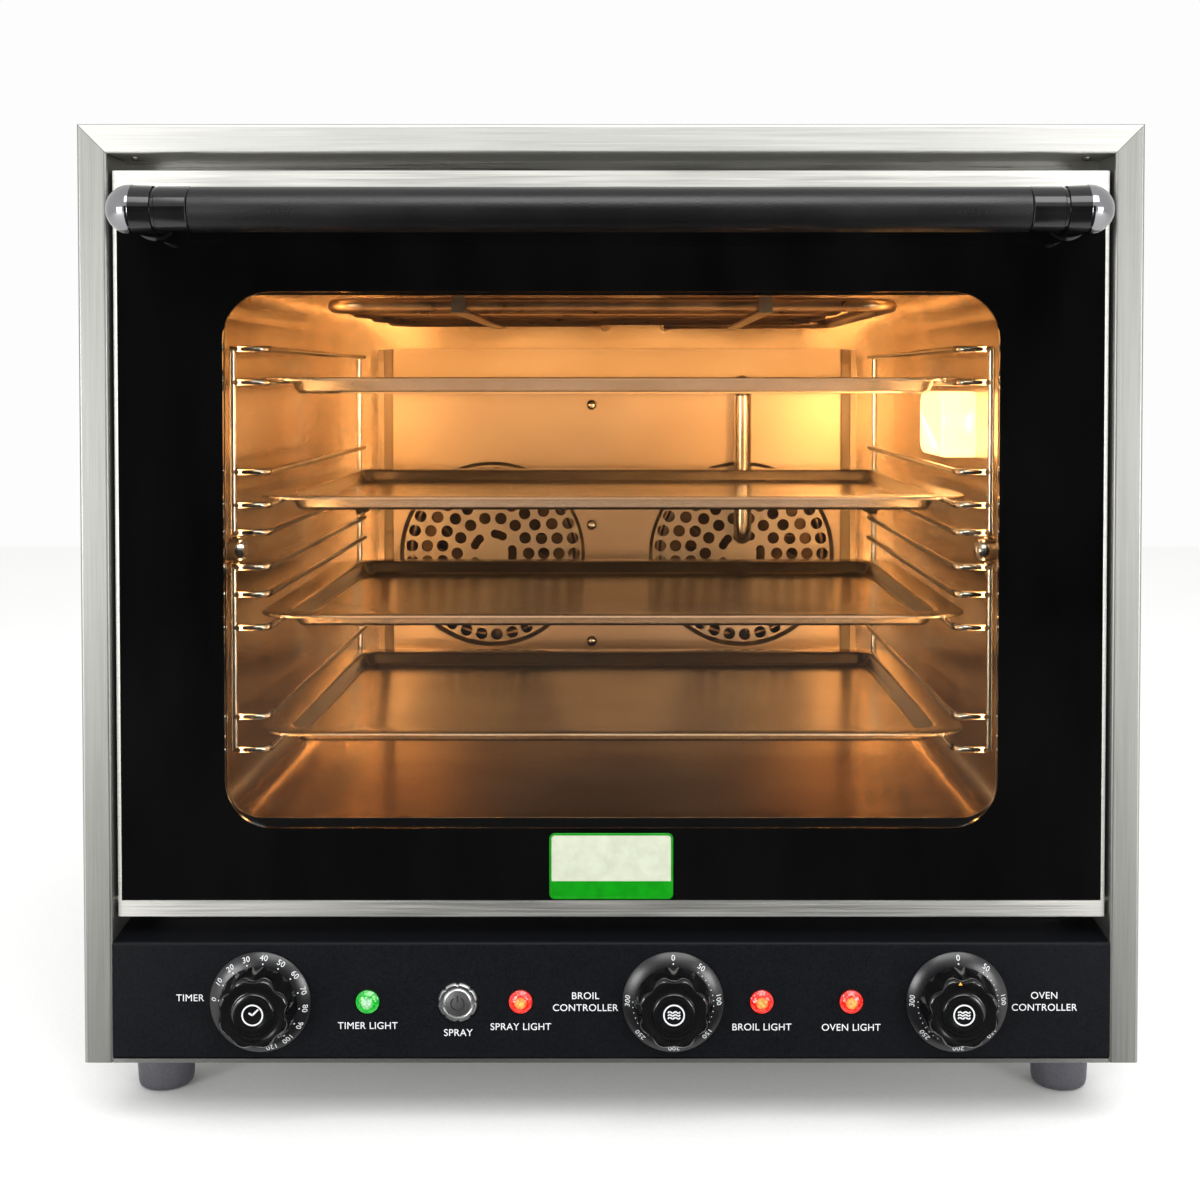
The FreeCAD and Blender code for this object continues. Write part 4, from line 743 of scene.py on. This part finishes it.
dials = {"timer": (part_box("timer_knob"), "clock"), "broil": (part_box("broil_knob"), "heat"),
         "oven": (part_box("oven_knob"), "heat")}
for name, ((low, high), kind) in dials.items():
    x = (low.x + high.x) / 2
    body = name + "_control"
    dress(knob_shape(x), knob_abs, body, "black_knob", name + "_knob").name = name + "_grip"
    dress(sign(x, kind), white_ink, body, "black_knob").name = name + "_sign"
    if name == "oven":
        place = Vector((x - 2.0 * MM, panel_face - 19.66 * MM, dial_z + 17.2 * MM))
        dress(lettering("▲", 1.6, place), orange_ink, body, "black_knob").name = name + "_pointer"
    cad = ["dial_rings"] if name == "timer" else []
    dress(ring_shape(x), ring_abs, "oven", "black_knob", *cad).name = name + "_skirt"
    scale = timer_scale(x) if kind == "clock" else heat_scale(x)
    dress(join("scale", scale), white_ink, "oven", "black_knob").name = name + "_scale"
    print(name, "dial at x", round(x / MM, 1), "mm with", len(scale), "marks")


# %% [markdown]
# ## Indicator lights and the push button
# The lights are domed lenses whose facets scatter a neon lamp. The button is a turned steel ring with
# eight notches round its edge and a flat cap with the power sign. All of them are turned profiles, so a
# list of radii and depths is enough. The notches come from a factor on the radius, as the scoops do.

# %% Lights and button
def light_shape(x):
    """Domed lens with a rim."""
    rows = [(6.0, 0.2), (6.75, 0.0), (6.75, -0.8), (6.4, -1.2), (6.0, -1.4), (5.4, -2.1), (4.4, -2.8),
            (3.0, -3.3), (1.5, -3.55), (0.2, -3.6)]
    return turned("light", (x, panel_face, dial_z), rows, 48, angle=60)


low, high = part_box("timer_light")
dress(light_shape((low.x + high.x) / 2), green_lens, "oven", "green_lens", "timer_light").name = "timer_lens"
low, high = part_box("red_lights")
RED_NAMES = ["spray", "broil", "oven"]
lens_radius = (high.z - low.z) / 2
first_x, last_x = low.x + lens_radius, high.x - lens_radius
RED_MIDDLE = 0.7292          # where the middle red light sits between the other two
red_x = [first_x, first_x + RED_MIDDLE * (last_x - first_x), last_x]
for i, (name, x) in enumerate(zip(RED_NAMES, red_x)):
    cad = ["red_lights"] if i == 0 else []
    dress(light_shape(x), red_lens, "oven", "red_lens", *cad).name = name + "_lens"

low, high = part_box("button_cap")
button_x = (low.x + high.x) / 2


NOTCHES = 8


def notched(angle):
    """Radius factor of the ring's notched edge."""
    return 1 - 0.07 * max(0.0, math.cos(NOTCHES * angle)) ** 6


bore_rows = [(8.05, 0.0), (8.05, -2.3), (8.5, -2.6)]
edge_rows = [(10.0, -2.6), (10.9, -1.9), (11.2, -1.1), (11.2, 0.0)]
loops = [circle((button_x, panel_face + y * MM, dial_z), radius * MM, "Y", 192, shape)
         for rows, shape in ((bore_rows, None), (edge_rows, notched)) for radius, y in rows]
dress(loft("button_ring", loops, wrap=True), turned_steel, "oven", "button_steel", "button_collar")
cap_rows = [(8.0, 2.0), (8.0, -2.7), (7.6, -3.2), (7.0, -3.4), (0.3, -3.6)]
dress(turned("button_face", (button_x, panel_face, dial_z), cap_rows, 96), turned_steel, "spray_button",
      "button_steel", "button_cap")
print("button at x", round(button_x / MM, 1), "mm, red lights at", [round(x / MM, 1) for x in red_x])


def power_sign(x):
    """Open ring with an upright bar."""
    centre = Vector((x, panel_face - 3.5 * MM, dial_z))
    gap = math.radians(35)
    steps = 28
    ring = []
    for i in range(steps + 1):
        angle = math.pi / 2 + gap + (2 * math.pi - 2 * gap) * i / steps
        way = Vector((math.cos(angle), 0, math.sin(angle)))
        ring.append([centre + way * radius * MM + Vector((0, y * MM, 0))
                     for radius, y in ((3.3, 0.1), (4.1, 0.1), (4.1, -0.2), (3.3, -0.2))])
    section = ((-0.4, 0.1), (0.4, 0.1), (0.4, -0.2), (-0.4, -0.2))
    bar = [[centre + Vector((u, y, z)) * MM for u, y in section] for z in (0.6, 4.6)]
    return join("power_sign", [loft("arc", ring), loft("bar", bar)])


dress(power_sign(button_x), phenolic, "spray_button", "button_steel")


# %% [markdown]
# ## Lettering
# The panel carries plain function words in white screen ink. A text curve turned into a mesh keeps the
# letters crisp at any distance, where an image would need a large picture.

# %% Panel lettering
ink_y = panel_face - 0.02 * MM
timer_x = sum(c.x for c in dials["timer"][0]) / 2
broil_x = sum(c.x for c in dials["broil"][0]) / 2
oven_x = sum(c.x for c in dials["oven"][0]) / 2
green_x = sum(c.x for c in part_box("timer_light")) / 2
broil_word_x = broil_x - 49.5 * MM
oven_word_x = oven_x + 49.3 * MM
WORDS = [("TIMER", timer_x - 39.8 * MM, 78.8), ("TIMER LIGHT", green_x, 63.0),
         ("SPRAY", button_x, 59.0), ("SPRAY LIGHT", red_x[0], 62.4),
         ("BROIL", broil_word_x, 80.0), ("CONTROLLER", broil_word_x, 73.2), ("BROIL LIGHT", red_x[1], 62.2),
         ("OVEN LIGHT", red_x[2], 62.0), ("OVEN", oven_word_x, 80.2), ("CONTROLLER", oven_word_x, 73.4)]
WORD_HEIGHT = 3.9
words = [lettering(text, WORD_HEIGHT, Vector((x, ink_y, z * MM))) for text, x, z in WORDS]
dress(join("panel_lettering", words), white_ink, "oven", "black_panel")
print("words on the panel:", len(WORDS))


# %% [markdown]
# ## The badge
# A small enamel plate on the glass, without any name or mark. It is a cream field with a green edge and a
# straight green band along its foot.

# %% Badge
badge_low, badge_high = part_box("door_badge")
BADGE_CORNER = 3.0
BAND_HEIGHT = 9.0 * MM
BAND_INSET = 1.25 * MM


def badge_loop(inset, rise):
    """Outline of the badge, inset in millimetres and raised from its front."""
    low = (badge_low.x + inset * MM, badge_low.z + inset * MM)
    high = (badge_high.x - inset * MM, badge_high.z - inset * MM)
    return rounded(low, high, (BADGE_CORNER - inset) * MM,
                   lambda x, z: Vector((x, badge_low.y - rise * MM, z)), 6)


edge_rows = [(0, -1.2), (0, -0.3), (0.4, 0), (1.0, 0), (1.2, -0.2), (1.2, -1.2)]
edge = loft("badge_edge", [badge_loop(inset, rise) for inset, rise in edge_rows], wrap=True)
dress(edge, green_enamel, "door", "enamel_plate", "door_badge")
plate = loft("badge_plate", [badge_loop(1.2, -1.1), badge_loop(1.2, -0.35)])
dress(plate, cream_enamel, "door", "enamel_plate")

band_foot = badge_low.z + BAND_INSET
band_head = band_foot + BAND_HEIGHT
section = [(0.4, band_foot), (0.25, band_foot), (0.25, band_head), (0.4, band_head)]
band = loft("badge_band", [[Vector((x, badge_low.y + y * MM, z)) for y, z in section]
                           for x in (badge_low.x + BAND_INSET, badge_high.x - BAND_INSET)])
dress(band, green_enamel, "door", "enamel_plate")
print("badge band", BAND_HEIGHT / MM, "mm high")


# %% [markdown]
# ## Trays
# A tray is pressed from one blank: a flat rim with a rolled edge, sloping sides and a flat floor with
# rounded corners. It is a loft of rounded rectangles over the profile of its wall, so the corners grow
# tighter towards the floor as they do in a real pressing. Rows are in millimetres: inset and drop.

# %% Trays
RIM_ROLL = 1.2
TRAY_CORNER = 24.0           # outer corner radius, down to FLOOR_CORNER at the floor
FLOOR_CORNER = 6.0
CORNER_TIGHTENING = 0.75     # how much of the inset the corner radius loses


def tray_shape(name, low, high):
    """Pressed pan with a rolled rim, inside the box of its node."""
    depth = (high.z - low.z) / MM
    under = [(25.0, -depth), (22.2, -depth + 0.3), (20.4, -depth + 2.2), (17.8, -2.2), (16.8, -1.3),
             (15.4, -0.9), (2.0, -0.9), (1.3, -1.3), (1.5, -RIM_ROLL * 1.7)]
    inner = [(0.9, -RIM_ROLL * 1.9), (0.1, -RIM_ROLL * 1.2), (0.0, -0.6), (0.5, -0.1), (1.4, 0.0),
             (15.6, 0.0), (17.4, -0.5), (18.6, -1.8), (21.4, -depth + 2.6), (22.6, -depth + 1.2),
             (25.0, -depth + 0.8)]
    loops = []
    for inset, drop in under + inner:
        corner = max(TRAY_CORNER - inset * CORNER_TIGHTENING, FLOOR_CORNER) * MM
        near = (low.x + inset * MM, low.y + inset * MM)
        far = (high.x - inset * MM, high.y - inset * MM)
        loops.append(rounded(near, far, corner, lambda x, y, z=high.z + drop * MM: Vector((x, y, z)), 12))
    # the loft closes its first and last rows, which makes the tray's floor, below and above
    return loft(name, loops, angle=50)


for i in range(1, 5):
    low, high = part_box(f"tray_{i}")
    pan = tray_shape(f"pressed_tray_{i}", low, high)
    dress(pan, tray_steel, f"tray_slide_{i}", "tray_steel", f"tray_{i}")
    print("tray", i, "rim at", round(high.z / MM, 1), "mm")


# %% [markdown]
# ## Feet
# Tapered rubber feet, with a thin lip at the top and a rounded lower edge. They are moulded, so a turned
# profile gives them exactly; the last rows are the shallow hollow for the screw.

# %% Feet
low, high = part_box("feet")
FOOT_TOP = 18.25
foot_rows = [(17.9, 0.0), (FOOT_TOP, -0.5), (FOOT_TOP, -2.5), (17.8, -3.0), (16.9, -30.0), (16.5, -38.0),
             (15.9, -40.6), (14.8, -41.7), (13.6, -42.0), (6.0, -42.0), (5.6, -41.0), (0.4, -41.0)]
places = [(side * (high.x - FOOT_TOP * MM), y) for side in (-1, 1)
          for y in (low.y + FOOT_TOP * MM, high.y - FOOT_TOP * MM)]
feet = [loft("foot", [circle((x, y, high.z + z * MM), radius * MM, "Z", 64) for radius, z in foot_rows])
        for x, y in places]
dress(join("rubber_feet", feet), foot_rubber, "oven", "grey_rubber", "feet")
print("feet:", len(feet), "of", round((high.z - low.z) / MM, 1), "mm")


# %% [markdown]
# ## Floor and studio lights
# A pale floor fades into a pale room. The key light is a large soft panel above the camera, and a panel on
# each side draws the long highlights in the brushed steel. Black glass would mirror the pale room and look
# grey, so two dark cards stand where the glass looks; they show only in reflections. All sizes and places
# are in metres.

# %% Floor and studio lights
FLOOR_SIZE = 6.0
bpy.ops.mesh.primitive_plane_add(size=FLOOR_SIZE, location=(0, 0, -0.5 * MM))
floor = bpy.context.object
floor.name = "floor"
floor.data.materials.append(coated("pale_floor", "#f1f1f0", "#f5f5f4", 3 * MM, 0.01 * MM, 0.8))


def panel_light(name, place, target, width, height, power, tone="#ffffff"):
    """Soft rectangular light that faces a target."""
    data = bpy.data.lights.new(name, "AREA")
    data.shape = "RECTANGLE"
    data.size, data.size_y = width, height
    data.energy = power
    data.color = colour(tone)[:3]
    light = bpy.data.objects.new(name, data)
    bpy.context.scene.collection.objects.link(light)
    light.location = place
    light.rotation_euler = (Vector(target) - Vector(place)).to_track_quat("-Z", "Y").to_euler()
    light.visible_camera = False
    return light


middle = Vector((0, 0, top / 2))
panel_light("key", (0.3, -1.9, 2.1), middle, 2.4, 1.2, 50)
panel_light("left_strip", (-1.4, -1.7, 0.34), middle, 0.7, 0.64, 19)
panel_light("right_strip", (1.4, -1.7, 0.34), middle, 0.7, 0.64, 18)


def dark_card(name, corners):
    """Dark card that shows only in reflections, so that black glass stays black."""
    mesh = bpy.data.meshes.new(name)
    mesh.from_pydata(corners, [], [(0, 1, 2, 3)])
    card = new_piece(name, mesh)
    card.data.materials.append(coated("dark_card", "#0a0a0a", "#121212", 20 * MM, 0.1 * MM, 0.9))
    card.visible_camera = False
    card.visible_shadow = False
    card.visible_diffuse = False


CARD_SIDE = 1.0
CARD_TOP = 0.92
CARD_Y = -2.4
CARD_NEAR = -0.27
CARD_NEAR_SIDE = 0.30        # narrow near the oven, so that the bezel's bars still mirror the pale floor
CARD_LIFT = 0.002
dark_card("front_card", [(-CARD_SIDE, CARD_Y, 0), (CARD_SIDE, CARD_Y, 0),
                         (CARD_SIDE, CARD_Y, CARD_TOP), (-CARD_SIDE, CARD_Y, CARD_TOP)])
dark_card("floor_card", [(-CARD_SIDE, CARD_Y, CARD_LIFT), (CARD_SIDE, CARD_Y, CARD_LIFT),
                         (CARD_NEAR_SIDE, CARD_NEAR, CARD_LIFT), (-CARD_NEAR_SIDE, CARD_NEAR, CARD_LIFT)])


# %% [markdown]
# ## Light inside the cavity
# The real lamp sits behind a glass cover in the right-hand wall, and polished walls carry its light round
# many times. A render stops after a few bounces, so small warm panels at the mouth and under the ceiling
# stand for the light that has bounced on. Daylight that comes in under the trays leaves a cool glint on each
# front lip; one narrow panel per tray gives that.

# %% Cavity lights
lamp_low, lamp_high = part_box("lamp_cover")
lamp_centre = (lamp_low + lamp_high) / 2
liner_low, liner_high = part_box("oven_liner")
WARM = "#ffbf80"
AMBER = "#ffb76f"
COOL = "#dce8ff"
mouth, rear, ceiling = liner_low.y, liner_high.y, liner_high.z
panel_light("oven_lamp", (lamp_low.x - 4 * MM, lamp_centre.y, lamp_centre.z),
            (0, lamp_centre.y + 0.05, 0.25), 0.07, 0.035, 2.4, WARM)
panel_light("ceiling_bounce", (0, mouth + 0.10, ceiling - 0.03), (0, rear, 0.25), 0.34, 0.06, 0.2, WARM)
for side in (-1, 1):
    panel_light(f"mouth_bounce_{side}", (side * 0.222, mouth + 0.012, 0.325),
                (-side * 0.05, rear, 0.325), 0.012, 0.28, 1.3, WARM)
panel_light("mouth_fill", (0, mouth + 0.004, 0.32), (0, rear, 0.32), 0.37, 0.27, 0.25, AMBER)
panel_light("ceiling_wash", (0, mouth + 0.09, ceiling - 0.085), (0, mouth + 0.13, ceiling),
            0.34, 0.05, 0.12, WARM)

GLINT_POWER = 0.012
GLINT_DROP = 0.030           # below the rim, and a little more for the lower trays
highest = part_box("tray_4")[1].z
for i in range(1, 5):
    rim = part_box(f"tray_{i}")[1].z
    lip = rim - GLINT_DROP - 0.07 * (highest - rim)
    power = GLINT_POWER * (1 + 0.6 * (4 - i))
    panel_light(f"tray_glint_{i}", (0, mouth + 0.006, lip), (0, rear, lip), 0.38, 0.03, power, COOL)
print("lights:", len(bpy.data.lights))


# %% [markdown]
# ## Room and camera
# The room is an even near-white, so the steel has something bright to mirror. The camera stands close, level
# with the upper trays and aimed slightly down, so the lower trays show their floors. Its shift only frames
# the oven. The Standard view transform keeps the whites clean.

# %% Room and camera
world = bpy.data.worlds.new("studio")
bpy.context.scene.world = world
world.use_nodes = True
world.node_tree.nodes["Background"].inputs[0].default_value = colour("#fdfdfd")
world.node_tree.nodes["Background"].inputs[1].default_value = 1.0

camera_data = bpy.data.cameras.new("camera")
camera_data.lens = 48.7
camera_data.sensor_width = 36.0
camera_data.shift_x = -0.025
camera_data.shift_y = -0.148
camera = bpy.data.objects.new("camera", camera_data)
bpy.context.scene.collection.objects.link(camera)
VIEW_DISTANCE = 0.907        # from the bezel's front to the camera
DOWN = 1.5
camera.location = (0.0106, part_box("front_bezel")[0].y - VIEW_DISTANCE, 0.4275)
camera.rotation_euler = (math.radians(90 - DOWN), 0, 0)
bpy.context.scene.camera = camera
bpy.context.scene.view_settings.view_transform = "Standard"
